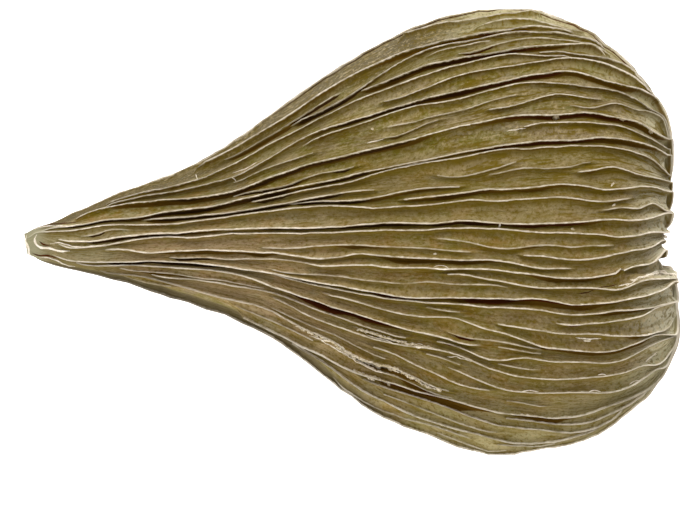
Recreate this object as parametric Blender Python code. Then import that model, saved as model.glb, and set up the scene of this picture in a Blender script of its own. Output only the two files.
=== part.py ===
"""A ribbed dregea seed pod, dry and lying on its side, as one closed body.

Sizes are in millimetres. X runs from the beak to the broad end, Y across the pod and Z up.
"""

import math

import bmesh
import bpy
import numpy as np

MM = 0.001
MIDDLE_X = 39.32
MIDDLE_Y = 1.325

# The skin between the ribs, ring by ring from the beak to the pole of the broad end:
# upper edge x and y, lower edge x and y, and half the thickness.
SKIN = (
    (0.05, 1.1, 0.45, -1.35, 1.2),
    (1.5, 1.65, 1.8, -1.9, 1.65),
    (3.4, 2.15, 3.4, -2.3, 2.2),
    (7.0, 3.7, 7.0, -3.1, 3.3),
    (12.0, 5.6, 12.0, -4.05, 4.7),
    (18.0, 7.6, 18.0, -5.85, 6.5),
    (24.0, 10.5, 24.0, -7.9, 8.4),
    (30.0, 14.5, 30.0, -10.9, 10.9),
    (36.0, 18.75, 36.0, -15.1, 13.7),
    (42.0, 22.6, 42.0, -19.3, 16.2),
    (48.0, 25.35, 48.0, -21.8, 18.2),
    (54.0, 26.9, 54.0, -24.0, 19.4),
    (59.0, 27.2, 59.0, -24.2, 19.8),
    (63.5, 26.2, 63.5, -23.5, 19.3),
    (67.2, 24.4, 67.6, -22.4, 18.0),
    (70.3, 22.0, 71.0, -20.2, 16.3),
    (73.0, 19.4, 73.7, -17.8, 14.3),
    (75.0, 16.4, 76.0, -14.9, 12.2),
    (76.2, 13.2, 77.3, -11.9, 10.2),
    (76.5, 10.2, 77.6, -9.2, 8.3),
    (76.0, 7.6, 77.0, -6.7, 6.5),
    (75.0, 5.0, 75.8, -4.3, 4.7),
    (74.3, 2.6, 74.6, -1.9, 2.8),
    (74.0, 1.4, 74.1, -0.8, 1.3),
)
RINGS = 40
END_CROWDING = 0.55
CREST_REACH = 0.45

# The pod lies on its belly, so its axis rises towards the broad end.
REST_X = 52.3
REST_Y = 1.3
AXIS_RISE = 0.19
FLAT_DEPTH = 0.6
FLAT_HALF_LENGTH = 10.0
FLAT_HALF_WIDTH = 6.5
CALM_START = 0.7
CALM_SPAN = 0.5

# The lower half of the broad end stands further out than the upper half, past a short step.
STEP_BACK = 1.3
STEP_START_X = 69.0
STEP_FULL_X = 76.0
STEP_PLACE = -0.43
STEP_HALF_WIDTH = 0.05
STEP_FADE_PLACE = 0.8

# The beak is open: a thin rim round a short recess.
BEAK_RIM = 0.62
BEAK_FLOOR = 0.4
BEAK_RECESS = 1.3

# Heights of the ribs over the skin, and of the slits beside them under it.
BOLD = 1.0
FIRM = 0.8
SOFT = 0.5
DEEP = 1.2
SHALLOW = 0.6
RIB_FADE = 2.5
RIB_HALF_WIDTH = 0.5
SLIT_OFFSET = 0.6
SLIT_HALF_WIDTH = 0.45
SAG_PER_GAP = 0.14
LARGEST_SAG = 0.5
BROAD_END_X = 74.3
PAST_THE_END = 20.0
FULL_RELIEF_GIRTH = 40.0
POLE_CALM = 0.1

# The ribs of the upper face, from its upper edge down. Each holds its stretches as height, slit
# depth, where the slit starts and ends along X, and the x and y of the points it runs through.
FACE_RIBS = (
    ((SOFT, 0, 0, 0, ((46, 24.9), (50, 26.1), (54.4, 26.95), (59, 27.5), (60.5, 27.4))),),
    ((FIRM, SHALLOW, 48, 62, ((22, 9.65), (28, 13.1), (34, 16.8), (38, 19.35), (42.3, 21.5), (46.5, 23.2),
                              (50.8, 24.1), (56, 25.1), (61, 25.8), (64.6, 25.1))),),
    ((FIRM, DEEP, 34, 50, ((33, 14.6), (36, 15.75), (40, 18.05), (43.6, 20.7), (47.6, 22.75),
                           (51.8, 23.85), (57.5, 24.95), (63, 24.85), (68.6, 23.8))),),
    ((SOFT, 0, 0, 0, ((52.3, 22.3), (56, 23.35), (61, 24.3), (66, 23.9), (69, 23.3))),),
    ((BOLD, DEEP, 41, 66, ((40.8, 18.55), (43, 19.05), (46, 20.4), (50.2, 21.7), (54, 22.25), (59.5, 23.2),
                           (64, 23.55), (68.5, 23.2), (72, 21.3))),),
    ((FIRM, 0, 0, 0, ((10.8, 5.3), (18, 6.8), (24, 8.8), (30, 12.1), (36, 15.1), (41, 17.6), (47.6, 19.75),
                      (53.9, 21.6), (58.5, 22.4), (64, 22.15))),),
    ((FIRM, SHALLOW, 60, 70, ((43.4, 16.85), (46.5, 17.7), (49.7, 19.15), (55.5, 20.6), (61, 21.45),
                              (65.5, 21.9), (68.5, 21.4), (72, 20.1), (75.3, 17.5))),),
    ((BOLD, DEEP, 34, 72, ((10.8, 4.9), (18, 6.25), (26, 8.2), (30, 10.6), (36, 13.65), (42.3, 15.35),
                           (48.6, 17.25), (54, 18.55), (59.5, 19.65), (64.5, 20.4), (68.5, 19.5),
                           (72, 18.6), (75.2, 17.2))),),
    ((FIRM, 0, 0, 0, ((34.5, 12.4), (40.2, 14.15), (46.5, 16.2), (50.2, 16.6), (56, 18.15), (61, 19.1),
                      (66, 18.6), (71.5, 17.7), (74.3, 16.05), (76.85, 13.2))),),
    ((SOFT, SHALLOW, 44, 56, ((44.4, 13.6), (47.6, 14.65), (51.8, 15.6), (56, 16.9), (58, 17.35))),),
    ((BOLD, DEEP, 35, 75, ((7, 4.0), (14, 4.95), (20, 5.45), (25, 6.15), (31, 8.35), (38, 10.35),
                           (44.4, 11.75), (50.8, 13.55), (57, 14.85), (62.5, 15.1), (67, 15.5), (72, 14.6),
                           (77, 12.2))),),
    ((SOFT, 0, 0, 0, ((25.5, 5.9), (31.5, 6.75), (35.5, 8.3), (39.3, 8.5))),
     (FIRM, 0, 0, 0, ((60.2, 14.05), (66, 14.3), (71.6, 13.7), (77, 11.05)))),
    ((BOLD, DEEP, 27, 75, ((2.9, 2.05), (9, 2.7), (13, 2.8), (18, 4.1), (26, 5.25), (31, 6.3), (36.5, 7.4),
                           (42.8, 8.85), (49.7, 10.2), (56, 11.5), (62, 12.0), (69.2, 12.45),
                           (73.4, 11.9), (76.85, 10.4))),),
    ((FIRM, 0, 0, 0, ((28, 4.9), (34, 6.3), (39, 7.25), (43.9, 8.7), (49.7, 9.8), (56.8, 11.15), (62, 11.15),
                      (69.2, 11.45), (75, 9.8), (76.85, 8.0))),),
    ((SOFT, 0, 0, 0, ((50, 7.3), (54, 8.15), (57.8, 8.8), (64.2, 8.8), (66.8, 9.4))),),
    ((FIRM, 0, 0, 0, ((15.5, 2.95), (24, 3.65), (30, 4.4), (36, 5.65), (40.8, 6.4))),
     (FIRM, 0, 0, 0, ((67.5, 8.3), (70.3, 9.05), (72.7, 8.2), (77.1, 7.2)))),
    ((FIRM, DEEP, 33, 42, ((33, 4.9), (39.7, 5.0), (43.9, 5.85), (48.6, 6.55), (51, 6.65))),),
    ((BOLD, SHALLOW, 49, 65, ((46, 5.3), (51, 5.7), (55.9, 6.45), (59.2, 6.35), (65, 7.0), (69.4, 6.25),
                              (74, 6.75), (77, 6.1))),),
    ((FIRM, 0, 0, 0, ((1.3, 1.6), (6, 1.6), (12, 2.35), (18, 2.3), (24, 3.1), (30, 3.85), (36, 4.4),
                      (42, 4.1), (48, 4.4), (53.9, 5.2), (57, 4.9), (63.8, 5.4), (69, 4.85),
                      (74.5, 4.75), (76.5, 3.9))),),
    ((BOLD, DEEP, 24, 68, ((5, 0.2), (10, 0.4), (16, 1.15), (24, 1.6), (36, 1.8), (44.4, 2.45), (48, 2.15),
                           (52.4, 2.7), (57, 2.25), (64, 2.3), (70, 2.75), (74, 2.7), (76.6, 3.5))),),
    ((FIRM, 0, 0, 0, ((5, -0.75), (10.5, 0), (16, 0.6), (23, 1.0), (38, 1.3), (51.2, 1.8), (61, 1.2),
                      (69.5, 0.8), (76.4, 1.3))),),
    ((SOFT, 0, 0, 0, ((50.2, 0.65), (54.4, -0.15), (58, -0.75), (62.5, -0.2), (69.2, -0.3))),),
    ((SOFT, 0, 0, 0, ((29.5, -0.9), (34, -0.55), (40, -0.2), (46, -0.6), (52.2, -1.1))),
     (FIRM, 0, 0, 0, ((60, -1.3), (65, -2.05), (70.5, -1.5), (76.1, 0)))),
    ((FIRM, SHALLOW, 42, 55, ((10.7, -0.6), (17, -1.1), (26, -1.0), (34, -1.65), (39.4, -1.2), (46, -1.75),
                              (52.3, -2.15), (56, -2.0), (62, -3.1), (64, -3.0))),),
    ((SOFT, 0, 0, 0, ((18.3, -2.0), (24, -2.0), (33.5, -2.25))),
     (BOLD, SHALLOW, 56, 71, ((35, -2.9), (40.8, -2.65), (44.2, -3.05), (53.4, -2.95), (60, -3.85),
                              (66.3, -4.15), (72, -3.15), (76.1, -1.4)))),
    ((FIRM, 0, 0, 0, ((51.2, -3.4), (56, -4.4), (60.6, -5.3), (67.8, -5.3), (71.3, -5.45), (76.5, -4.2))),),
    ((BOLD, DEEP, 31, 72, ((4.8, -2.55), (12, -2.4), (21, -2.5), (30, -3.75), (38, -5.2), (45, -6.3),
                           (52.2, -6.65), (61.4, -6.6), (65.5, -7.35), (71.2, -6.85), (77.3, -4.9))),),
    ((FIRM, SHALLOW, 66, 74, ((31, -4.3), (39, -5.6), (45.5, -6.9), (52.3, -7.35), (60, -7.8), (65.5, -8.6),
                              (71.8, -8.2), (74.6, -7.7))),),
    ((FIRM, 0, 0, 0, ((64.4, -9.85), (68.8, -9.45), (73, -8.8), (77.9, -6.05))),),
    ((FIRM, 0, 0, 0, ((57.5, -9.85), (63.5, -10.75), (71, -10.95), (75.7, -10.4), (77.9, -8.8))),),
    ((FIRM, SHALLOW, 60, 73, ((37, -6.1), (42.3, -7.85), (46.5, -8.8), (52.3, -9.05), (56, -10.4),
                              (61.6, -12.3), (70.5, -12.8), (75.2, -10.95))),),
    ((BOLD, DEEP, 27, 57, ((7.3, -2.95), (15, -2.75), (23, -3.45), (31, -5.6), (37, -7.7), (45.5, -10.2),
                           (52.8, -12.0), (56, -12.6))),),
    ((FIRM, 0, 0, 0, ((16, -4.1), (24, -4.85), (30, -6.0), (36, -8.35), (44, -10.95), (50, -11.75),
                      (54.4, -13.25), (57, -14.1), (59.2, -13.5), (65.8, -14.1), (71.8, -13.75),
                      (77.8, -11.05))),),
    ((FIRM, 0, 0, 0, ((31, -6.9), (36, -9.6), (42.3, -11.6), (48, -12.4), (53.9, -14.25), (59.3, -15.9),
                      (67.7, -15.9), (73.7, -14.65), (77.5, -12.6))),),
    ((FIRM, SHALLOW, 56, 73, ((51.6, -15.15), (55.9, -17.0), (62, -17.75), (70.8, -17.55), (75.5, -14.8))),),
    ((FIRM, 0, 0, 0, ((42.2, -12.1), (46.5, -14.4), (52, -17.0), (54.4, -17.3))),),
    ((BOLD, DEEP, 31, 50, ((10, -3.9), (18.5, -5.1), (24, -6.75), (30, -8.4), (36, -11.3), (41.2, -14.2),
                           (44.6, -14.9), (49.7, -17.5))),),
    ((BOLD, DEEP, 42, 73, ((26.9, -9.6), (33, -12.2), (40.2, -15.6), (48.6, -18.15), (56.8, -20.25),
                           (63.5, -20.8), (70, -19.3), (75.6, -16.6))),),
    ((FIRM, 0, 0, 0, ((41.2, -16.3), (46, -18.0), (52.8, -20.4), (57.8, -21.9), (63.7, -22.65),
                      (70.6, -21.1))),),
    ((FIRM, SHALLOW, 42, 52, ((32.4, -12.3), (38.6, -16.5), (46, -20.2), (53.4, -22.5), (60.6, -23.9),
                              (66, -22.9))),),
    ((SOFT, 0, 0, 0, ((38.5, -17.5), (42.8, -20.0), (48.1, -21.7), (52.3, -23.2))),
     (SOFT, 0, 0, 0, ((54.5, -24.3), (58, -24.5), (63, -24.0)))),
)

# The ribs of the underside follow a rule: even spacing, each with a slow waver of its own.
# Starts and ends along the pod are shares of its length.
BELLY_RIBS = 22
BELLY_SEED = 11
BELLY_WAVER = 0.3
BELLY_RIB_START = 0.25
BELLY_RIB_FADE = 0.12
BELLY_SLIT_START = 0.3
BELLY_SLIT_END = 0.85
BELLY_SLIT_FADE = 0.1

# Ribs settle between their neighbours: shares of a neighbour round the pod and along it.
RELAX_STEPS = 500
SHARE_ROUND = 0.15
SHARE_ALONG = 0.35
SMALLEST_GAP = 0.4
PART_STEPS = 40
PART_SHARE = 0.25
FINE_STEPS = 721

SKIN_COLOUR = (0.24, 0.20, 0.11, 1.0)
SKIN_ROUGHNESS = 0.8
SHARP_EDGE = 35.0


def clear_scene():
    for item in list(bpy.data.objects):
        bpy.data.objects.remove(item, do_unlink=True)


def smooth_step(value):
    value = np.clip(value, 0.0, 1.0)
    return value * value * (3.0 - 2.0 * value)


def smooth_curve(places, values, at):
    """A smooth curve through the given points, read at the places asked for."""
    places = np.asarray(places, float)
    values = np.asarray(values, float)
    slopes = np.gradient(values, places)
    left = np.clip(np.searchsorted(places, at) - 1, 0, len(places) - 2)
    span = places[left + 1] - places[left]
    share = (at - places[left]) / span
    square = share * share
    cube = square * share
    return (values[left] * (2 * cube - 3 * square + 1)
            + values[left + 1] * (3 * square - 2 * cube)
            + span * slopes[left] * (cube - 2 * square + share)
            + span * slopes[left + 1] * (cube - square))


def ring_table():
    """Upper edge, lower edge and half thickness of every ring, closer together at both ends."""
    even = np.linspace(0.0, 1.0, RINGS)
    crowded = 0.5 - 0.5 * np.cos(math.pi * even)
    row = (len(SKIN) - 1) * ((1.0 - END_CROWDING) * even + END_CROWDING * crowded)
    rows = np.arange(len(SKIN))
    return [smooth_curve(rows, column, row) for column in zip(*SKIN)]


def step_back(x, across):
    """How far the upper half of the broad end stays behind the lower half."""
    along = smooth_step((x - STEP_START_X) / (STEP_FULL_X - STEP_START_X))
    below = smooth_step((across - STEP_PLACE + STEP_HALF_WIDTH) / (2 * STEP_HALF_WIDTH))
    above = smooth_step((STEP_FADE_PLACE - across) / STEP_FADE_PLACE)
    return STEP_BACK * along * below * above


def skin_point(ring, angle):
    """A point of the skin: seen from above, angle 0 is the upper edge and a half turn the lower."""
    upper_x, upper_y, lower_x, lower_y, thick = ring
    across = np.cos(angle)
    x = 0.5 * (upper_x + lower_x) + 0.5 * (upper_x - lower_x) * across
    y = 0.5 * (upper_y + lower_y) + 0.5 * (upper_y - lower_y) * across
    z = AXIS_RISE * (x - REST_X) + thick * np.sin(angle)
    return np.stack([x - step_back(x, across), y, z], axis=-1)


def face_angle(ring, xs, ys):
    """The angle at which a rib through the given points crosses this ring."""
    upper_x, upper_y, lower_x, lower_y, _ = ring
    middle_y = 0.5 * (upper_y + lower_y)
    half_y = 0.5 * (upper_y - lower_y) + CREST_REACH
    across = 0.0
    for _ in range(8):
        x = 0.5 * (upper_x + lower_x) + 0.5 * (upper_x - lower_x) * across
        x = x - step_back(x, across)
        y = smooth_curve(xs, ys, np.clip(x, xs[0], xs[-1]))
        across = float(np.clip((y - middle_y) / half_y, -0.995, 0.995))
    return math.acos(across), x


def stretch_strength(x, first, last, fade):
    """1 along a stretch, falling to 0 over the fade beyond its ends."""
    return float(smooth_step((x - first + fade) / fade) * smooth_step((last + fade - x) / fade))


def trace_face(table):
    """Angle, height and slit depth of each upper-face rib on each ring, and where it is given."""
    count = len(FACE_RIBS)
    angle = np.zeros((RINGS, count))
    given = np.zeros((RINGS, count), bool)
    height = np.zeros((RINGS, count))
    slit = np.zeros((RINGS, count))
    for row in range(RINGS):
        ring = [column[row] for column in table]
        past_rim = row > int(np.argmax(table[0]))
        for rib, stretches in enumerate(FACE_RIBS):
            for rise, depth, slit_from, slit_to, points in stretches:
                xs = [point[0] for point in points]
                ys = [point[1] for point in points]
                place, x = face_angle(ring, xs, ys)
                reaches_end = xs[-1] > BROAD_END_X
                inside = xs[0] <= x <= xs[-1] or (reaches_end and x > xs[0])
                if inside and not past_rim:
                    angle[row, rib] = place
                    given[row, rib] = True
                last = xs[-1] + (PAST_THE_END if reaches_end else 0.0)
                height[row, rib] += rise * stretch_strength(x, xs[0], last, RIB_FADE)
                slit[row, rib] += depth * stretch_strength(x, slit_from, slit_to, RIB_FADE)
    return angle, given, height, slit


def trace_belly(table):
    """The same for the ribs of the underside."""
    chance = np.random.default_rng(BELLY_SEED)
    share = (np.arange(BELLY_RIBS) + 0.5) / BELLY_RIBS
    along = np.linspace(0.0, 1.0, RINGS)[:, None]
    phase = chance.uniform(0, 2 * math.pi, BELLY_RIBS)
    pace = chance.uniform(5, 10, BELLY_RIBS)
    waver = BELLY_WAVER * np.sin(along * pace + phase) / BELLY_RIBS
    angle = math.pi + math.pi * (share + waver)
    reach = chance.uniform(0.0, BELLY_RIB_START, BELLY_RIBS)
    rise = chance.choice([SOFT, FIRM, BOLD], BELLY_RIBS)
    height = rise * smooth_step((along - reach) / BELLY_RIB_FADE)
    depth = chance.choice([0.0, SHALLOW, DEEP], BELLY_RIBS)
    opens = smooth_step((along - BELLY_SLIT_START) / BELLY_SLIT_FADE)
    closes = smooth_step((BELLY_SLIT_END - along) / BELLY_SLIT_FADE)
    return angle, np.ones(angle.shape, bool), height, depth * opens * closes


def settle(angle, given):
    """Let the ribs run smoothly, between their neighbours, where no point is given."""
    turn = 2 * math.pi
    count = angle.shape[1]
    even = (np.arange(count) + 0.5) * turn / count
    fixed = np.where(given, angle, np.nan)
    for row in range(RINGS):
        known = np.flatnonzero(given[row])
        if len(known):
            places = np.concatenate([known - count, known, known + count])
            values = np.concatenate([angle[row, known] - turn, angle[row, known], angle[row, known] + turn])
            angle[row] = np.interp(np.arange(count), places, values)
        else:
            angle[row] = even
    for _ in range(RELAX_STEPS):
        left = np.concatenate([angle[:, -1:] - turn, angle[:, :-1]], axis=1)
        right = np.concatenate([angle[:, 1:], angle[:, :1] + turn], axis=1)
        before = np.concatenate([angle[:1], angle[:-1]])
        after = np.concatenate([angle[1:], angle[-1:]])
        free = SHARE_ROUND * (left + right) + SHARE_ALONG * (before + after)
        angle = np.where(given, fixed, free)
    smallest = SMALLEST_GAP * turn / count
    for _ in range(PART_STEPS):
        gap = np.diff(np.concatenate([angle, angle[:, :1] + turn], axis=1), axis=1)
        push = PART_SHARE * np.maximum(smallest - gap, 0.0)
        angle = angle - push + np.roll(push, 1, axis=1)
    return angle


def relief(place, ribs, height, slit, girth):
    """Height over the skin at each place round one ring, all measured along the girth."""
    away = place[:, None] - ribs[None, :]
    away = (away + 0.5 * girth) % girth - 0.5 * girth
    rise = (height * np.exp(-(away / RIB_HALF_WIDTH) ** 2)).max(axis=1)
    cut = (slit * np.exp(-((away - SLIT_OFFSET) / SLIT_HALF_WIDTH) ** 2)).max(axis=1)
    standing = height > 0.3 * SOFT
    if standing.sum() > 2:
        real = away[:, standing]
        gap_below = np.where(real >= 0, real, girth).min(axis=1)
        gap_above = np.where(real <= 0, -real, girth).min(axis=1)
        gap = gap_below + gap_above
        middle = 4 * gap_below * gap_above / np.maximum(gap, 0.01) ** 2
        sag = np.minimum(SAG_PER_GAP * gap, LARGEST_SAG) * middle
    else:
        sag = 0.0
    return np.maximum(rise - cut, -DEEP) - sag


def belly_calm(points):
    """0 over the flat spot that the pod rests on, 1 away from it."""
    far = np.hypot((points[:, 0] - REST_X) / FLAT_HALF_LENGTH, (points[:, 1] - REST_Y) / FLAT_HALF_WIDTH)
    return np.where(points[:, 2] < 0, smooth_step((far - CALM_START) / CALM_SPAN), 1.0)


def skin_and_lifts():
    """Every ring of skin points, from the beak to the pole of the broad end, and its relief."""
    table = ring_table()
    face = trace_face(table)
    belly = trace_belly(table)
    angle, given, height, slit = [np.concatenate(pair, axis=1) for pair in zip(face, belly)]
    angle = settle(angle, given)
    turn = 2 * math.pi
    valley = 0.5 * (angle + np.concatenate([angle[:, 1:], angle[:, :1] + turn], axis=1))
    columns = np.stack([angle, valley], axis=2).reshape(RINGS, -1)
    fine = np.linspace(0.0, turn, FINE_STEPS)
    skin = []
    lifts = []
    for row in range(RINGS):
        ring = [column[row] for column in table]
        walk = skin_point(ring, fine)
        length = np.concatenate([[0.0], np.cumsum(np.linalg.norm(np.diff(walk, axis=0), axis=1))])
        girth = length[-1]
        place = np.interp(columns[row] % turn, fine, length)
        ribs = np.interp(angle[row] % turn, fine, length)
        points = skin_point(ring, columns[row])
        share = row / (RINGS - 1)
        room = min(1.0, girth / FULL_RELIEF_GIRTH) * float(smooth_step((1.0 - share) / POLE_CALM))
        skin.append(points)
        lifts.append(relief(place, ribs, height[row], slit[row], girth) * room * belly_calm(points))
    return np.array(skin), np.array(lifts)


def raise_skin(skin, lifts):
    """Move each point out along the skin's own normal by its height."""
    along = np.gradient(skin, axis=0)
    across = 0.5 * (np.roll(skin, -1, axis=1) - np.roll(skin, 1, axis=1))
    normal = np.cross(across, along)
    normal /= np.linalg.norm(normal, axis=2, keepdims=True)
    return skin + normal * lifts[..., None]


def lay_down(rings, lowest):
    """Bring the belly to the ground and flatten the spot that it rests on."""
    rings[..., 2] = np.maximum(rings[..., 2] - lowest - FLAT_DEPTH, 0.0)
    rings[..., 0] -= MIDDLE_X
    rings[..., 1] -= MIDDLE_Y
    return rings


def pod_mesh(rings):
    """Join the rings into one closed mesh, with the open beak and the pole of the broad end."""
    beak = rings[0]
    heart = beak.mean(axis=0)
    rim = heart + (beak - heart) * BEAK_RIM
    floor = heart + (beak - heart) * BEAK_FLOOR
    floor[:, 0] += BEAK_RECESS
    bottom = floor.mean(axis=0)
    pole = rings[-1].mean(axis=0)
    mesh = bmesh.new()
    loops = [[mesh.verts.new(point * MM) for point in loop] for loop in [floor, rim, *rings]]
    for first, second in zip(loops, loops[1:]):
        for column in range(len(first)):
            follow = (column + 1) % len(first)
            mesh.faces.new((first[column], first[follow], second[follow], second[column]))
    for loop, centre, outward in ((loops[0], bottom, False), (loops[-1], pole, True)):
        hub = mesh.verts.new(centre * MM)
        for column in range(len(loop)):
            pair = (loop[column], loop[(column + 1) % len(loop)])
            mesh.faces.new((*pair, hub) if outward else (*reversed(pair), hub))
    bmesh.ops.triangulate(mesh, faces=mesh.faces)
    if mesh.calc_volume(signed=True) < 0:
        bmesh.ops.reverse_faces(mesh, faces=mesh.faces)
    return mesh


def skin_material():
    material = bpy.data.materials.new("dry_pod_skin")
    material.use_nodes = True
    shader = material.node_tree.nodes["Principled BSDF"]
    shader.inputs["Base Color"].default_value = SKIN_COLOUR
    shader.inputs["Roughness"].default_value = SKIN_ROUGHNESS
    shader.inputs["Metallic"].default_value = 0.0
    return material


def make_pod():
    skin, lifts = skin_and_lifts()
    rings = lay_down(raise_skin(skin, lifts), skin[..., 2].min())
    shape = pod_mesh(rings)
    data = bpy.data.meshes.new("pod")
    shape.to_mesh(data)
    shape.free()
    data.shade_smooth()
    data.set_sharp_from_angle(angle=math.radians(SHARP_EDGE))
    data.materials.append(skin_material())
    pod = bpy.data.objects.new("pod", data)
    bpy.context.scene.collection.objects.link(pod)
    return pod


clear_scene()
make_pod()
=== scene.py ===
"""The looks of a dry dregea seed pod: a ribbed husk with papery rib edges, lying on a pale floor.

Sizes are in millimetres unless a name says otherwise. Places on the face are given as x from the
tip of the beak towards the broad end and y across from the beak's axis, as seen from above.
"""

import math
from types import SimpleNamespace

import bpy
import numpy as np
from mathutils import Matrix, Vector
from mathutils.bvhtree import BVHTree


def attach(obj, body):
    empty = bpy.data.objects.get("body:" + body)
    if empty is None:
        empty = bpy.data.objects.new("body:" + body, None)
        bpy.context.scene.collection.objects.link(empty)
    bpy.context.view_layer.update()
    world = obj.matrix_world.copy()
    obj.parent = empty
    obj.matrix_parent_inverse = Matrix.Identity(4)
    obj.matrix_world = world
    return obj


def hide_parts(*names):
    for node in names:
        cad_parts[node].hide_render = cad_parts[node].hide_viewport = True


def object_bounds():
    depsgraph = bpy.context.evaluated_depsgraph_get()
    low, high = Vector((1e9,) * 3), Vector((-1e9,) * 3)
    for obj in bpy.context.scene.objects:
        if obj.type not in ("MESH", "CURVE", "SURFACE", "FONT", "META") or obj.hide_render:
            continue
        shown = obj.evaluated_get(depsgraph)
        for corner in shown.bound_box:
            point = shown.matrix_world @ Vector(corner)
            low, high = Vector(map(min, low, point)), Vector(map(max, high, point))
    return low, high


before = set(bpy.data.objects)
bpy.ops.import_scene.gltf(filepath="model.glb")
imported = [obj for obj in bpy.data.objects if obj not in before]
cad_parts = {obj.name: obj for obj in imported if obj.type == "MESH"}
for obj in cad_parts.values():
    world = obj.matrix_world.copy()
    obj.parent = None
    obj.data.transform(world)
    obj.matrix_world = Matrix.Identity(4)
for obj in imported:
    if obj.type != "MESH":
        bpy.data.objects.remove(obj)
box_low, box_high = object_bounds()

MM = 0.001
MM_PER_METRE = 1000.0

# The place on the face that is the middle of the frame.
MIDDLE_X = 39.32
MIDDLE_Y = 1.325

# The skin between the ribs, ring by ring from the beak to the pole of the broad end:
# upper edge x and y, lower edge x and y, and half the thickness.
SKIN = (
    (0.05, 1.1, 0.45, -1.35, 1.2),
    (1.5, 1.65, 1.8, -1.9, 1.65),
    (3.4, 2.15, 3.4, -2.3, 2.2),
    (7.0, 3.7, 7.0, -3.1, 3.3),
    (12.0, 5.6, 12.0, -4.05, 4.7),
    (18.0, 7.6, 18.0, -5.85, 6.5),
    (24.0, 10.5, 24.0, -7.75, 8.4),
    (30.0, 14.6, 30.0, -10.45, 10.9),
    (36.0, 18.85, 36.0, -14.95, 13.7),
    (42.0, 22.6, 42.0, -19.3, 16.2),
    (48.0, 25.35, 48.0, -21.8, 18.2),
    (54.0, 26.9, 54.0, -24.0, 19.4),
    (59.0, 27.2, 59.0, -24.2, 19.8),
    (63.5, 26.2, 63.5, -23.5, 19.3),
    (67.2, 24.4, 67.6, -22.4, 18.0),
    (70.3, 22.0, 71.0, -20.2, 16.3),
    (73.0, 19.4, 73.7, -17.8, 14.3),
    (75.0, 16.4, 76.0, -14.9, 12.2),
    (76.2, 13.2, 77.3, -11.9, 10.2),
    (76.5, 10.2, 77.6, -9.2, 8.3),
    (76.0, 7.6, 77.0, -6.7, 6.5),
    (75.0, 5.0, 75.8, -4.3, 4.7),
    (74.3, 2.6, 74.6, -1.9, 2.8),
    (74.0, 1.4, 74.1, -0.8, 1.3),
)
RINGS = 145
END_CROWDING = 0.55

# The pod lies on its belly, so its axis rises towards the broad end.
REST_X = 52.3
REST_Y = 1.3
AXIS_RISE = 0.19
FLAT_DEPTH = 0.6
FLAT_HALF_LENGTH = 10.0
FLAT_HALF_WIDTH = 6.5
CALM_START = 0.7
CALM_SPAN = 0.5

# The lower half of the broad end stands further out than the upper half, past a short step.
STEP_BACK = 1.6
STEP_START_X = 69.0
STEP_FULL_X = 76.0
STEP_Y = -3.4
STEP_HALF_WIDTH = 0.12
STEP_FADE_Y = 6.5

BEAK_RIM = 0.62
BEAK_FLOOR = 0.4
BEAK_RECESS = 1.3

# The mesh is closed by a fan of triangles at the beak's floor and one at the pole.
CAPS = 2
CORNERS_OF_A_FAN_FACE = 3

# Heights of the ribs over the skin, then the slits and dips beside them, which get deeper with width.
BOLD = 0.85
FIRM = 0.65
SOFT = 0.42
LINE_DEPTH = 0.8
BAND_DEPTH = 0.2
DEEPEST = 0.9
SLIT_CLEARANCE = 0.1
SLIT_SOFTNESS = 0.06
RIB_FADE = 2.0
SAG_PER_GAP = 0.14
LARGEST_SAG = 0.5
LEAST_GAP = 0.01
BROAD_END_X = 74.3
PAST_THE_END = 20.0
FULL_RELIEF_GIRTH = 40.0
POLE_CALM = 0.1

# The cross section of a rib: a thin edge on a low bank, with a steep side to the south, then its slit.
EDGE_WIDTH = 0.16
EDGE_SHARE = 0.65
BANK_WIDTH = 0.7
SOUTH_WIDTH = 0.2
STANDING_SHARE = 0.3

# The ribs stand straight up near both edges, so the skin reaches out there in their place.
UPPER_REACH = 0.7
LOWER_REACH = 0.33
FULL_REACH_HALF_WIDTH = 12.0


def run(height, *points, line=((0.0, 0.0),), band=((0.0, 0.0),), frayed=(0.0, 0.0, 0.0)):
    """One stretch of a rib: its height and points, and what lies along its south side.

    A line is a narrow slit and a band a dip, each given as x and width at some places; the paint darkens
    each slit and browns each dip as painted shade.
    The edge is frayed by a share, from x to x.
    """
    return {"height": height, "xs": [p[0] for p in points], "ys": [p[1] for p in points],
            "line": line, "band": band, "frayed": frayed}


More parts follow.
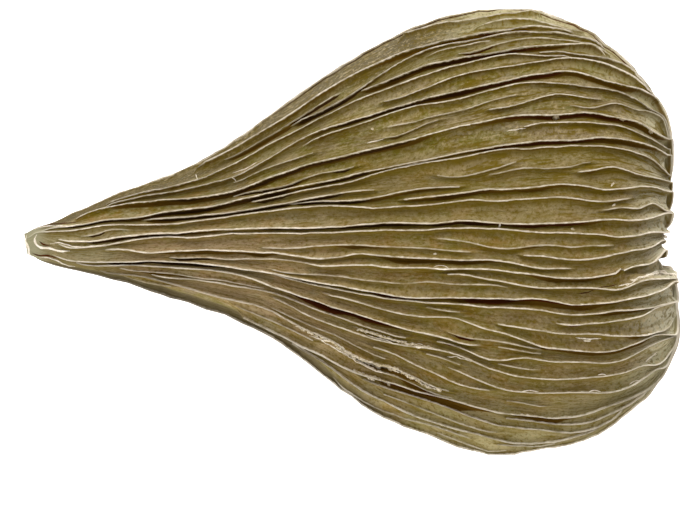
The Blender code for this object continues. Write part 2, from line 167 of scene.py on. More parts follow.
# The ribs of the upper face, from its upper edge down; a rib can have several stretches.
FACE_RIBS = (
    (run(SOFT, (46, 24.9), (48.4, 25.85), (52.9, 26.6), (56, 27.05), (59, 27.5), (60.5, 27.4)),),
    (run(SOFT, (55.5, 26.05), (57, 26.6), (60, 26.55), (62.5, 26.2), (66, 25.2)),),
    (run(FIRM, (22, 9.65), (26, 11.95), (30, 14.2), (34, 16.8), (38.1, 19.35), (42.3, 21.5), (46.5, 23.2),
         (50.75, 24.1), (52.85, 24.7), (57.5, 25.2), (61, 25.85), (63, 25.55), (64.6, 25.1),
         line=((53, 0), (55, .12), (57, 0)),
         band=((41, 0), (45, .3), (55, .3), (63, 0))),),
    (run(SOFT, (24.5, 9.6), (27.5, 11.7), (31, 13.7), (35, 16.3), (37, 17.5),
         line=((31, 0), (34, .22), (37, .15)),
         band=((24.5, .2), (28, .45), (32, .4), (35, 0))),),
    (run(FIRM, (33, 14.6), (36, 15.75), (40, 18.05), (41.25, 19.2), (43.6, 20.7), (47.6, 22.75),
         (51.8, 23.85), (53.9, 24), (57.5, 24.95), (61.5, 25.05), (66.5, 24.55), (68.6, 23.8),
         line=((33, .2), (36, .2), (40, .1), (43, 0)),
         band=((33, .4), (36, .2), (45, 0))),),
    (run(SOFT, (49.15, 22.7), (51.25, 23.25), (53.35, 23.5), (54.8, 24.2)),),
    (run(SOFT, (52.3, 22.15), (54.4, 22.9), (57, 23.75), (61, 24.35), (66, 23.85), (69, 23.3),
         line=((52.3, .2), (54, .2), (57, 0))),),
    (run(BOLD, (40.85, 18.65), (42.95, 19.05), (46, 20.4), (50.2, 21.7), (54, 22.2), (59.5, 23.2),
         (64, 23.55), (66.5, 23.7), (68.5, 23.5),
         line=((42, 0), (44, .12), (50, .22), (53, .2), (56, .12), (59, .2), (62, .12), (64, 0)),
         band=((41, .3), (44, .5), (48, .3), (50, .45), (53, .2), (60, .2), (62, .45), (65, 0))),),
    (run(FIRM, (62.3, 22.4), (63.5, 22.75), (65, 22.45), (69, 22), (71, 21.5), (72, 21.15), (73.5, 20)),),
    (run(FIRM, (10.8, 5.3), (14, 6.1), (18, 6.8), (22, 7.95), (26, 9.9), (30, 12.1), (34, 14.1),
         (38.1, 16.15), (41.15, 17.6), (45.5, 19.05), (49.7, 20.6), (53.9, 21.6), (58.5, 22.4),
         (61.5, 22.2), (64, 22.1)),),
    (run(FIRM, (43.4, 16.85), (46.5, 17.7), (49.7, 19.15), (54, 20.4), (57, 20.8), (61, 21.45),
         (65.5, 21.95), (68.5, 21.45), (71.5, 20.4), (73.3, 19.3), (75.3, 17.5)),),
    (run(BOLD, (10.8, 4.9), (14, 5.65), (18, 6.25), (22, 7.1), (26, 8.2), (28, 9.4), (32, 11.75),
         (36, 13.65), (40.2, 14.8), (44.4, 16.15), (48.6, 17.25), (52.85, 18.25), (57, 19.2),
         (62.5, 20.2), (66.5, 20.2), (68.5, 19.5), (72, 18.6), (74, 18.2), (75.2, 17.5),
         line=((34, 0), (38, .12), (48, .15), (51, .25), (60, .25), (63, .2), (65, 0)),
         band=((34, .1), (46, .2), (50, .6), (54, .5), (58, .3), (63, .4), (66, .2), (71, .4), (74, 0))),),
    (run(FIRM, (34.5, 12.4), (38.1, 13.5), (42.3, 14.85), (46.5, 16.25), (50.2, 16.6), (53.9, 17.65),
         (58, 18.7), (61, 19.1), (64, 18.8), (68, 18.4), (71.5, 17.7), (74.3, 16.05), (75.7, 14.6),
         (76.85, 13.2),
         band=((34.5, .2), (37, 0))),),
    (run(SOFT, (44.4, 13.6), (47.6, 14.65), (51.8, 15.6), (56, 16.9), (58, 17.35)),),
    (run(SOFT, (25.8, 7.2), (28, 8.5), (30, 9.2), (34, 10.5),
         line=((25.8, .15), (28, 0))),
     run(SOFT, (44, 12.15), (46, 13.15), (48.6, 14.6),
         band=((44, .3), (46, 0))),
     run(FIRM, (56.5, 15.65), (59.5, 16.55), (63.5, 17.7), (65, 17.55), (67.7, 17))),
    (run(SOFT, (66, 16.1), (68, 15.9), (70.3, 16.55), (73.4, 15.7), (74.5, 15.7)),),
    (run(BOLD, (7, 4), (11, 4.65), (16, 5.15), (20, 5.45), (25, 6.15), (29, 7.7), (33, 9.1), (38.1, 10.35),
         (42.3, 11.4), (46.5, 12.25), (50.75, 13.55), (54.95, 14.4), (59.5, 15.15), (62.5, 15.05),
         (67, 15.5), (70, 14.95), (73.4, 14.15), (75.3, 13.05), (77, 12.2),
         line=((15, 0), (19, .12), (27, .15), (29, .3), (33, .2), (41, .2), (45, .12), (48, 0), (56, 0),
              (58, .15), (64, .3), (70, .2), (74, 0)),
         band=((10, 0), (13, .4), (19, .45), (24, .35), (28, .6), (32, .35), (44, .3), (47, .4), (49, 0),
              (53, 0), (57, .35), (64, .45), (72, .45), (75, .3), (77, 0))),),
    (run(SOFT, (25.5, 5.9), (29.5, 6.4), (31.5, 6.75), (33.5, 7.6), (35.5, 8.3), (39.3, 8.5),
         line=((25.5, .12), (28, .22), (31, .25), (34, 0), (36.5, 0), (38, .2), (39.3, .2)),
         band=((28, .3), (32, .5), (34, 0))),
     run(FIRM, (60.2, 14.05), (64.5, 14.3), (68, 14.2), (71.65, 13.7), (73.7, 12.8), (77, 11.05))),
    (run(BOLD, (2.9, 2.05), (7, 2.3), (10, 2.95), (13, 2.8), (16, 3.7), (21, 4.2), (26, 5.25), (31, 6.3),
         (36.5, 7.4), (40.75, 8.5), (44.95, 9.2), (49.7, 10.2), (54, 11.1), (58, 11.7), (60.5, 12.05),
         (64, 12.1), (69.25, 12.45), (72.4, 12.1), (75.2, 11.3), (76.85, 10.4),
         line=((4, 0), (6, .15), (12, .12), (18, .2), (24, .2), (28, .25), (31, .2), (32.5, 0), (34.5, 0),
              (36, .2), (39.5, .25), (41.5, 0), (53, 0), (55, .12), (58, .12), (60, .3), (63, .2),
              (66, .22), (71, 0)),
         band=((10, 0), (15, .4), (24, .45), (30, .35), (36, .2), (40, .2), (42, 0), (53, .1), (60, .4),
              (66, .3), (69, .5), (73, .45), (76, 0))),),
    (run(FIRM, (28, 4.9), (32, 5.9), (36, 6.75), (39.15, 7.25), (42.3, 8.35), (46.5, 9.2), (52.3, 10.2),
         (56.85, 11.15), (59.7, 11.1), (63.95, 11.4), (69.25, 11.45), (72, 10.9), (75.05, 9.8),
         (76.85, 8),
         line=((28, .2), (31, .15), (33, 0), (39, 0), (40, .12), (41.5, 0))),),
    (run(SOFT, (50, 7.3), (53.9, 8.15), (57.8, 9.25)),),
    (run(SOFT, (56.3, 8.15), (58.55, 8.75), (62.5, 8.75), (64.2, 8.8), (66.8, 9.5)),),
    (run(FIRM, (15.5, 2.95), (20, 3.2), (26, 3.85), (32, 4.85), (36, 5.65), (40.85, 6.4),
         line=((15.5, .1), (19, .22), (25, .12), (28, .22), (34, .28), (37.5, .15), (39, 0)),
         band=((15, .4), (17, .45), (19, .2), (33, .25), (38, 0))),
     run(FIRM, (67, 8.1), (68.7, 8.9), (70.3, 9.05), (72.7, 8.2), (75.35, 7.7), (77.1, 7.2),
         band=((67, .2), (69, 0)))),
    (run(FIRM, (33, 4.85), (36, 5), (39.7, 5), (41.8, 5.35), (43.9, 5.85), (48.6, 6.55), (51, 6.65),
         line=((33, .22), (39, .22), (41.5, .1), (43, 0)),
         band=((38, .2), (42, .3), (49, .15), (51, 0))),),
    (run(BOLD, (46, 5.3), (51.05, 5.7), (53.9, 6.25), (59.2, 6.35), (63.95, 7), (67.3, 6.7),
         (69.35, 6.25), (72.05, 6.55), (74.05, 6.75), (77, 6.1),
         line=((47, 0), (50, .12), (52, .18), (55, .12), (57, 0)),
         band=((46, .15), (49, .3), (52, .5), (55, .3), (58, .1), (61, .4), (64, .15), (67, 0))),),
    (run(FIRM, (1.3, 1.6), (6, 1.6), (10, 2.25), (14, 2.2), (18, 2.3), (22, 2.85), (26, 3.3), (30, 3.85),
         (34, 4.3), (38.5, 4.35), (41.25, 4.1), (44.95, 4.3), (49.5, 4.6), (53.9, 5.2), (56.1, 4.85),
         (59.7, 5.2), (63.85, 5.45), (67.3, 5.05), (68.7, 4.85), (71.3, 5.1)),),
    (run(SOFT, (7.8, 0.75), (9, 1.2), (11.4, 2.1),
         line=((7.8, .2), (9, .2), (10, 0))),
     run(FIRM, (70.3, 4.35), (72.4, 4.05), (73.7, 4.1), (74.7, 4.8), (76.5, 3.7))),
    (run(BOLD, (5, 0.2), (8.3, 0.15), (12, 0.75), (16, 1.15), (20, 1.3), (24, 1.65), (30, 1.7), (36, 1.8),
         (40.75, 2.15), (44.4, 2.45), (47.6, 2.15), (49.7, 2.3), (51.8, 2.7), (53.9, 2.6),
         (56.65, 2.25), (63.95, 2.3), (69.65, 2.75), (73.05, 2.65), (75.05, 2.95), (76.6, 3.55),
         line=((7, 0), (8, .2), (11, .28), (15, .2), (17, .1), (20, .15), (22, 0), (27.5, 0), (29, .2),
              (34, .12), (38, .22), (41, .38), (44, .42), (47, .22), (50, .25), (53, .45), (56, .25),
              (59, .4), (63, .4), (65.5, .3), (67.5, 0)),
         band=((10, .3), (13, .2), (22, .2), (24, 0), (64, 0), (67, .3), (70, 0))),),
    (run(FIRM, (5, -0.75), (9, -0.45), (12, 0.1), (18, 0.8), (20, 0.55), (23, 1), (30, 1.1), (38, 1.3),
         (43.4, 1.5), (48.1, 1.5), (51.25, 1.8), (55.8, 1.7), (61.1, 1.2), (68, 1.05), (72.05, 0.7),
         (75.05, 1.3), (76.6, 1.2),
         band=((10, 0), (11, .15), (12.5, 0))),),
    (run(SOFT, (50.2, 0.65), (53.35, 0.05), (55.9, -0.6), (58, -0.75), (62.05, -0.2), (64.9, -0.5),
         (69.25, -0.25),
         band=((58, 0), (60, .2), (62, 0))),),
    (run(SOFT, (29.5, -0.9), (33, -0.5), (38.95, -0.25), (43.4, -0.4), (48.1, -0.7), (52.2, -1.1),
         band=((37, 0), (39, .35), (42, .15), (44, 0), (47, 0), (48.5, .15), (50, 0))),
     run(FIRM, (60.05, -1.3), (62.5, -1.75), (65.65, -2.05), (69.15, -1.65), (72.2, -1), (75.45, -0.2),
         (76.1, 0.3))),
    (run(FIRM, (10.7, -0.6), (14.5, -1.25), (19, -0.95), (26, -1), (31, -1.35), (37.8, -1.75),
         (39.4, -1.15), (42.3, -1.55), (48.6, -1.85), (52.3, -2.15), (56, -2), (59.7, -2.7),
         (62.05, -3.1), (64, -2.95),
         line=((19, 0), (20.5, .12), (23, .12), (24, 0), (49, 0), (50, .12), (54, .12), (55, 0)),
         band=((15, 0), (17, .2), (20, .4), (24, .3), (29, .3), (31, 0), (41.5, 0), (44, .5), (50, .4),
              (54, .4), (58, 0))),),
    (run(SOFT, (18.3, -2), (20, -1.7), (24, -2), (28, -1.9), (33.5, -2.2),
         line=((18.3, .15), (22, .12), (24, 0))),
     run(BOLD, (35, -2.95), (39.15, -2.6), (42.3, -2.7), (44.2, -3.05), (46, -2.85), (50, -3.2),
         (53.4, -2.95), (56.85, -3.25), (61.6, -3.95), (66.3, -4.15), (70.1, -3.65), (73, -2.75),
         (75.45, -1.98), (76.3, -0.8),
         band=((59, 0), (62, .45), (66, .5), (69, .35), (72, 0)))),
    (run(FIRM, (51.15, -3.35), (54.4, -4.2), (57.3, -4.65), (60.6, -5.3), (67.75, -5.3), (71.3, -5.45),
         (72.9, -4.75), (74.8, -4.3), (76, -4.2),
         band=((59, 0), (61, .2), (63, 0), (65.5, 0), (67, .25), (69, 0))),),
    (run(SOFT, (30.3, -3.75), (34, -3.65), (39.15, -4.15), (44.4, -4.85)),
     run(SOFT, (47.05, -4.15), (49.7, -4.75), (52.3, -4.9), (56.8, -4.85))),
    (run(BOLD, (4.8, -2.55), (12, -2.4), (15, -2.25), (21, -2.5), (26, -3.1), (30, -3.75), (34, -4.5),
         (38.1, -5.2), (42.3, -5.95), (47.05, -6.6), (52.85, -6.5), (58, -6.7), (61.4, -6.6),
         (64.4, -7.3), (66.8, -7.3), (71.2, -6.85), (74.6, -6.05), (76.5, -5.35), (77.5, -4.55),
         line=((9, 0), (11, .2), (23, .2), (25, 0), (33, 0), (35, .12), (37, 0), (39.5, 0), (41, .12),
              (44, .2), (48, .1), (52.2, .08), (52.5, .35), (57, .35), (60, .2), (66, .2), (68, 0)),
         band=((49, 0), (52.5, .35), (58, .45), (66, .5), (69, .25), (74, .15), (76, 0))),),
    (run(FIRM, (31, -4.2), (36, -5.2), (42.3, -6.4), (47.6, -7.05), (51.25, -7.15), (54, -7.5),
         (60.15, -7.8), (65.55, -8.6), (69.2, -8.2), (73.9, -7.8), (74.6, -7.7),
         line=((33, 0), (34, .1), (36, 0)),
         band=((67, 0), (70, .3), (74, .2), (74.6, 0))),),
    (run(SOFT, (48.6, -7.7), (51.05, -8.2)),
     run(FIRM, (64.4, -9.85), (68.8, -9.45), (71.8, -9.1), (74.05, -8.45), (75.85, -7.2),
         (77.95, -6.05),
         line=((64.4, .15), (66, .15), (67, 0)))),
    (run(FIRM, (57.5, -9.85), (60.45, -10.2), (63.5, -10.75), (67.3, -10.75), (71.8, -11.1),
         (74.8, -10.75), (77.3, -9.55), (78.05, -8.15), frayed=(0.6, 64, 78),
         band=((71, 0), (73, .3), (75, 0))),),
    (run(FIRM, (37, -6.1), (40.2, -7.1), (44.4, -8.35), (46.5, -8.8), (52.3, -9.05), (54.7, -10.1),
         (58.3, -11), (61.6, -12.3), (64.4, -12.65), (70.5, -12.8), (72.75, -12.05), (75.2, -10.9),
         line=((66, 0), (68.5, .1), (70, .15), (73, 0)),
         band=((59, 0), (61, .15), (66, .3), (70, .4), (74, .4), (75.2, 0))),),
    (run(SOFT, (51.5, -11.3), (53.9, -11.35), (58.75, -12), (60.6, -12.5),
         line=((51.5, .2), (53, .2), (54.5, 0))),),
    (run(BOLD, (7.3, -2.95), (15, -2.75), (21.5, -3.1), (25.3, -3.6), (29, -5), (33, -6.3), (37.05, -7.7),
         (41.25, -8.85), (45.5, -10.2), (51.25, -11.6), (52.85, -12),
         line=((9, 0), (11, .15), (17, .15), (19, 0), (30, 0), (32, .25), (35, .45), (41, .45), (44, .2),
              (46, 0)),
         band=((30, 0), (32, .25), (35, .5), (41, .5), (44, .35), (47, 0), (49, 0), (50, .15), (51, 0))),
     run(SOFT, (57.3, -12.4), (60.8, -13.05))),
    (run(SOFT, (12, -3.4), (18, -3.65), (21, -4.2), (24.7, -4.6), (28, -5.4),
         band=((13, 0), (15, .15), (18, .2), (21, 0))),),
    (run(FIRM, (16, -4.1), (22, -4.6), (26, -5.3), (30, -6), (34, -7.6), (38.1, -9.05), (42.3, -10.35),
         (45, -11.4)),
     run(FIRM, (49.7, -11.6), (51.25, -12.05), (55.9, -13.95), (57.3, -14.1), (59.2, -13.45),
         (62.05, -14.05), (65.85, -14.1), (71.8, -13.75), (74.05, -12.5), (76.9, -11), (78.3, -10.9),
         line=((49.7, .2), (51, .15), (52, 0)))),
    (run(FIRM, (40.2, -10.25), (42.5, -11), (45, -11.95), frayed=(0.8, 40, 45)),
     run(SOFT, (57.2, -14.4), (58.75, -14.75), (60.6, -15.1))),
    (run(FIRM, (31, -6.9), (34.2, -8.8), (38, -10.1), (42.3, -11.55), (47.2, -12.4), (49.7, -12.6),
         (52.8, -13.6), (56.4, -15.2), (59.3, -15.9), (62.05, -16.2), (67.7, -15.9), (71.8, -15.35),
         (74.3, -14.45), (75.6, -14.5), (77.95, -12.05),
         line=((62.5, 0), (64, .15), (66, 0)),
         band=((71, 0), (73, .2), (75, 0))),),
    (run(SOFT, (48.2, -12.95), (50.7, -13.9), (51.8, -14.4)),),
    (run(FIRM, (51.6, -15.15), (53.4, -15.8), (55.9, -17), (59.3, -17.7), (65.85, -17.7),
         (70.85, -17.55), (73.7, -16.2), (75.5, -14.8)),),
    (run(FIRM, (42.2, -11.95), (45.05, -13.5), (46.5, -14.5), (49.9, -15.7), (52, -17), (54.4, -17.2)),),
    (run(SOFT, (30.2, -8.1), (33.8, -9.6), (38.6, -11.6), (41.05, -12.9), (42.95, -13.9)),),
    (run(BOLD, (10, -3.9), (15, -4.2), (18.5, -5.1), (22, -6.2), (28, -7.55), (30, -8.4), (33.5, -10.35),
         (36.85, -11.75), (39.15, -13.15), (42.3, -14.55), (44.4, -14.75), (46.5, -16.1), (49.7, -17.5),
         frayed=(0.7, 33, 47),
         line=((43, 0), (45, .15), (47, .2), (49.7, .12)),
         band=((31, 0), (33, .3), (37, .3), (40, .45), (44, .5), (49.7, .3))),
     run(SOFT, (58.4, -18.7), (59.7, -18.95), (61.2, -19.7))),
    (run(SOFT, (12.8, -4.55), (17, -5.1)),
     run(SOFT, (26.5, -8), (30.5, -9.7), (34.5, -11.5)),
     run(FIRM, (39, -13.5), (41.3, -14.65), (43.5, -15.45), frayed=(0.8, 39, 44)),
     run(SOFT, (45.3, -16.1), (48.1, -17.7), (50, -18.35),
         line=((45.3, .08), (50, .08)),
         band=((45.3, .3), (50, .3)))),
    (run(BOLD, (26.9, -9.6), (31, -11.4), (35, -13.15), (38.1, -14.8), (42.3, -16.2), (46.5, -17.55),
         (50.7, -18.55), (54.9, -19.7), (58, -20.4), (60.8, -20.5), (62.25, -21), (63.5, -20.8),
         (66.8, -20.4), (70.1, -19.3), (73.7, -17.9), (75.6, -16.6), frayed=(0.5, 58, 66),
         line=((41.5, 0), (43, .25), (48, .3), (54, .15), (58, 0), (60, .15), (63, .2), (65, 0), (68, 0),
              (69.5, .12), (72, .15), (74, 0)),
         band=((41, 0), (43, .4), (51, .7), (55, .5), (57, 0), (59, .2), (63, .5), (66, .3), (70, .2),
              (73, 0))),),
    (run(FIRM, (58, -20.7), (60.6, -21.15), (64.9, -21.6), (67.7, -21.25), (71.05, -19.85),
         (73.5, -18.6)),),
    (run(FIRM, (41.25, -16.3), (43.4, -17.25), (46, -18), (51.25, -19.8), (54.95, -21.2), (57.8, -21.9),
         (61.1, -22.1), (64.4, -22.65), (67.45, -22.25), (70.6, -21.1)),),
    (run(SOFT, (43.4, -17.9), (46.5, -19.4), (50.7, -20.95), (55.4, -22.6)),),
    (run(FIRM, (32.4, -12.2), (36, -14.1), (38.6, -16.5), (41.9, -18.25), (47.05, -20.8),
         (53.35, -22.5), (57.8, -23.7), (60.6, -24), (63.5, -23.7), (67.3, -22.6),
         band=((43.5, 0), (45, .2), (49, .15), (54, 0))),),
    (run(SOFT, (38, -17.3), (41.05, -19.15), (44.95, -20.8), (48.1, -21.6), (52.3, -22.8)),
     run(SOFT, (57.3, -23.95), (60.6, -24.3), (63, -24.2))),
    (run(SOFT, (50, -22.75), (53.9, -24.4), (57.1, -25)),),
)

# The ribs of the underside follow a rule: even spacing, each with a slow waver of its own.
# Starts and ends along the pod are shares of its length.
BELLY_RIBS = 24
BELLY_SEED = 11
BELLY_WAVER = 0.3
BELLY_RIB_START = 0.25
BELLY_RIB_FADE = 0.12
BELLY_SLIT_START = 0.3
BELLY_SLIT_END = 0.85
BELLY_SLIT_FADE = 0.1
BELLY_LINES = (0.0, 0.08, 0.15)
BELLY_BANDS = (0.0, 0.15, 0.3)
BELLY_RIM_RIBS = 1
RIM_RIB_HEIGHT = 0.25

# Steps that bring the crest of a rib over its points, and the share of the rest that each takes away.
PLACE_STEPS = 14
PLACE_SHARE = 0.7

# Ribs settle between their neighbours: shares of a neighbour round the pod and along it.
RELAX_STEPS = 3000
SHARE_ROUND = 0.1
SHARE_ALONG = 0.4
SMALLEST_GAP = 0.09
PART_STEPS = 60
PART_SHARE = 0.25
EASE_STEPS = 2
FINE_STEPS = 721

# Columns of the mesh in each gap between two ribs, measured from its north rib and its south rib.
NORTH_COLUMNS = (0.0, 0.1, 0.24, 0.42, 0.62, 0.86)
SOUTH_COLUMNS = (0.3, 0.11)
ROOMY_GAP = 1.5
BELLY_NORTH_COLUMNS = (0.0, 0.2, 0.5)
BELLY_SOUTH_COLUMNS = (0.45, 0.16)

# Bumps of the outline seen from above.
OUTLINE_BUMP = 0.2
OUTLINE_WAVELENGTH = 1.5
OUTLINE_FINE_SHARE = 0.6
OUTLINE_FINE_WAVELENGTH = 0.6
OUTLINE_RIM_START = 0.9
OUTLINE_BROAD_START = 50.0
OUTLINE_BROAD_SPAN = 10.0

# Round the pod, in radians: where the ribs start and stop turning up, along the lower edge and the upper.
TURN_START = 1.6
TURN_END = 3.9
TURN_SPAN = 0.9
UPPER_TURN_START = 0.15
UPPER_TURN_END = 1.5
TURNED_UP = 1.2
SMALL_TURN = 0.002

# Raggedness of the rib edges.
EDGE_SEED = 5
SIDE_WAVER = 0.07
SIDE_WAVER_SHARE = 0.2
SIDE_WAVELENGTH = 1.7
HEIGHT_WAVER = 0.2
HEIGHT_WAVELENGTH = 1.9
FRAY_WAVER = 0.5
WIDTH_WAVER = 0.35
WIDTH_WAVELENGTH = 2.2

# Length of grain pattern from one rib to the next.
GRAIN_PER_RIB = 1.1


def smooth_step(value):
    """0 to 1 with a soft start and end."""
    value = np.clip(value, 0.0, 1.0)
    return value * value * (3.0 - 2.0 * value)


def smooth_curve(places, values, at):
    """A smooth curve through the given points, read at the places asked for."""
    places = np.asarray(places, float)
    values = np.asarray(values, float)
    slopes = np.gradient(values, places)
    left = np.clip(np.searchsorted(places, at) - 1, 0, len(places) - 2)
    span = places[left + 1] - places[left]
    share = (at - places[left]) / span
    square = share * share
    cube = square * share
    return (values[left] * (2 * cube - 3 * square + 1)
            + values[left + 1] * (3 * square - 2 * cube)
            + span * slopes[left] * (cube - 2 * square + share)
            + span * slopes[left + 1] * (cube - square))


def ring_table():
    """Upper edge, lower edge and half thickness of every ring, closer together at both ends."""
    even = np.linspace(0.0, 1.0, RINGS)
    crowded = 0.5 - 0.5 * np.cos(math.pi * even)
    row = (len(SKIN) - 1) * ((1.0 - END_CROWDING) * even + END_CROWDING * crowded)
    rows = np.arange(len(SKIN))
    return np.array([smooth_curve(rows, column, row) for column in zip(*SKIN)])


def step_back(x, y):
    """How far the upper half of the broad end stays behind the lower half."""
    along = smooth_step((x - STEP_START_X) / (STEP_FULL_X - STEP_START_X))
    below = smooth_step((y - STEP_Y + STEP_HALF_WIDTH) / (2 * STEP_HALF_WIDTH))
    above = smooth_step((STEP_FADE_Y - y) / (STEP_FADE_Y - STEP_Y))
    return STEP_BACK * along * below * above


def skin_point(table, angle):
    """Points of the skin: seen from above, angle 0 is the upper edge and a half turn the lower."""
    upper_x, upper_y, lower_x, lower_y, thick = [column[:, None] for column in table]
    across = np.cos(angle)
    x = 0.5 * (upper_x + lower_x) + 0.5 * (upper_x - lower_x) * across
    half_y = 0.5 * (upper_y - lower_y)
    y = 0.5 * (upper_y + lower_y) + half_y * across
    reach = np.where(across > 0, UPPER_REACH * across * across, -LOWER_REACH * across * across)
    y = y + reach * np.minimum(half_y / FULL_REACH_HALF_WIDTH, 1.0)
    z = AXIS_RISE * (x - REST_X) + thick * np.sin(angle)
    return np.stack([x - step_back(x, y), y, z], axis=-1)


def face_angle(table, xs, ys, height):
    """Where a rib crosses each ring, so that its crest seen from above runs through the points."""
    half_y = 0.5 * (table[1] - table[3])
    angle = np.full(RINGS, 0.5 * math.pi)
    for _ in range(PLACE_STEPS):
        column = angle[:, None]
        crest = skin_point(table, column) + height * rib_directions(table, column)
        x, y, _ = crest[:, 0].T
        wanted = smooth_curve(xs, ys, np.clip(x, xs[0], xs[-1]))
        across = np.cos(angle) + PLACE_SHARE * (wanted - y) / half_y
        angle = np.arccos(np.clip(across, -0.999, 0.999))
    return angle, x


def strength_along(x, first, last):
    """1 along a stretch, falling to 0 over the fade beyond its ends."""
    return smooth_step((x - first + RIB_FADE) / RIB_FADE) * smooth_step((last + RIB_FADE - x) / RIB_FADE)


def trace_face(table):
    """Angle of each upper-face rib on each ring, where it is given, its height, line, band and fray."""
    shape = (RINGS, len(FACE_RIBS))
    angle = np.zeros(shape)
    given = np.zeros(shape, bool)
    height = np.zeros(shape)
    line = np.zeros(shape)
    band = np.zeros(shape)
    fray = np.zeros(shape)
    before_rim = np.arange(RINGS) <= int(np.argmax(table[0]))
    for rib, stretches in enumerate(FACE_RIBS):
        for part in stretches:
            xs = part["xs"]
            place, x = face_angle(table, xs, part["ys"], part["height"])
            reaches_end = xs[-1] > BROAD_END_X
            inside = (x >= xs[0]) & before_rim & ((x <= xs[-1]) | reaches_end)
            angle[inside, rib] = place[inside]
            given[inside, rib] = True
            last = xs[-1] + (PAST_THE_END if reaches_end else 0.0)
            reach = strength_along(x, xs[0], last)
            height[:, rib] = np.maximum(height[:, rib], part["height"] * reach)
            for table_of, profile in ((line, part["line"]), (band, part["band"])):
                places, widths = zip(*profile)
                table_of[:, rib] += np.interp(x, places, widths, left=0.0, right=0.0)
            strength, first, last = part["frayed"]
            if strength:
                fray[:, rib] += strength * strength_along(x, first, last)
    return angle, given, height, line, band, fray


def trace_belly():
    """The same for the ribs of the underside."""
    chance = np.random.default_rng(BELLY_SEED)
    share = (np.arange(BELLY_RIBS) + 0.5) / BELLY_RIBS
    along = np.linspace(0.0, 1.0, RINGS)[:, None]
    phase = chance.uniform(0, 2 * math.pi, BELLY_RIBS)
    pace = chance.uniform(5, 10, BELLY_RIBS)
    waver = BELLY_WAVER * np.sin(along * pace + phase) / BELLY_RIBS
    angle = math.pi + math.pi * (share + waver)
    reach = chance.uniform(0.0, BELLY_RIB_START, BELLY_RIBS)
    rise = chance.choice([SOFT, FIRM, BOLD], BELLY_RIBS)
    rise[-BELLY_RIM_RIBS:] = RIM_RIB_HEIGHT
    height = rise * smooth_step((along - reach) / BELLY_RIB_FADE)
    line = chance.choice(BELLY_LINES, BELLY_RIBS)
    band = chance.choice(BELLY_BANDS, BELLY_RIBS)
    opens = smooth_step((along - BELLY_SLIT_START) / BELLY_SLIT_FADE)
    closes = smooth_step((BELLY_SLIT_END - along) / BELLY_SLIT_FADE)
    open_share = opens * closes
    given = np.ones(angle.shape, bool)
    fray = np.zeros(angle.shape)
    return angle, given, height, line * open_share, band * open_share, fray


def settle(angle, given):
    """Let the ribs run smoothly, between their neighbours, where no point is given."""
    turn = 2 * math.pi
    count = angle.shape[1]
    even = (np.arange(count) + 0.5) * turn / count
    fixed = np.where(given, angle, np.nan)
    for row in range(RINGS):
        known = np.flatnonzero(given[row])
        if len(known):
            places = np.concatenate([known - count, known, known + count])
            values = np.concatenate([angle[row, known] - turn, angle[row, known], angle[row, known] + turn])
            angle[row] = np.interp(np.arange(count), places, values)
        else:
            angle[row] = even
    for _ in range(RELAX_STEPS):
        left = np.concatenate([angle[:, -1:] - turn, angle[:, :-1]], axis=1)
        right = np.concatenate([angle[:, 1:], angle[:, :1] + turn], axis=1)
        before = np.concatenate([angle[:1], angle[:-1]])
        after = np.concatenate([angle[1:], angle[-1:]])
        free = SHARE_ROUND * (left + right) + SHARE_ALONG * (before + after)
        angle = np.where(given, fixed, free)
    smallest = SMALLEST_GAP * turn / count
    for _ in range(PART_STEPS):
        gap = np.diff(np.concatenate([angle, angle[:, :1] + turn], axis=1), axis=1)
        push = PART_SHARE * np.maximum(smallest - gap, 0.0)
        angle = angle - push + np.roll(push, 1, axis=1)
    for _ in range(EASE_STEPS):
        angle[1:-1] = 0.5 * angle[1:-1] + 0.25 * (angle[:-2] + angle[2:])
    return angle


def slow_noise(chance, along, wavelength, count):
    """Smooth random values between -1 and 1, one column for each rib, read at its places along."""
    knots = int(along.max() / wavelength) + 3
    values = chance.uniform(-1.0, 1.0, (knots, count))
    place = along / wavelength
    left = place.astype(int)
    share = smooth_step(place - left)
    column = np.arange(count)[None, :]
    return values[left, column] * (1 - share) + values[left + 1, column] * share


def gap_offsets(width, north, south):
    """Places across a gap of the given width, measured from its north rib."""
    scale = np.minimum(width / ROOMY_GAP, 1.0)
    near = [scale * step for step in north]
    far = [width - scale * step for step in south]
    middle = 0.5 * (near[-1] + far[0])
    return np.stack([*near, middle, *far], axis=1)


def dip(away, width, depth):
    """A rounded groove on the south side of a crest."""
    middle = SLIT_CLEARANCE + 0.5 * width
    half = 0.5 * width + SLIT_SOFTNESS
    return depth * np.exp(-((away - middle) / half) ** 2)


def relief(place, girth, ribs, height, line, band):
    """Height over the skin at each place round one ring, all measured along the girth."""
    away = place[:, None] - ribs[None, :]
    away = (away + 0.5 * girth) % girth - 0.5 * girth
    to_north = np.maximum(-away, 0.0)
    north_side = (EDGE_SHARE * np.exp(-to_north / EDGE_WIDTH)
                  + (1.0 - EDGE_SHARE) * np.exp(-(to_north / BANK_WIDTH) ** 2))
    south_side = np.exp(-(np.maximum(away, 0.0) / SOUTH_WIDTH) ** 2)
    rise = (height * north_side * south_side).max(axis=1)
    cut = dip(away, line, LINE_DEPTH * line).max(axis=1) + dip(away, band, BAND_DEPTH * band).max(axis=1)
    standing = height > STANDING_SHARE * SOFT
    if not standing.any():
        return rise - cut
    real = away[:, standing]
    gap_below = np.where(real >= 0, real, girth).min(axis=1)
    gap_above = np.where(real <= 0, -real, girth).min(axis=1)
    gap = gap_below + gap_above
    middle = 4 * gap_below * gap_above / np.maximum(gap, LEAST_GAP) ** 2
    sag = np.minimum(SAG_PER_GAP * gap, LARGEST_SAG) * middle
    return np.maximum(rise - cut, -DEEPEST) - sag


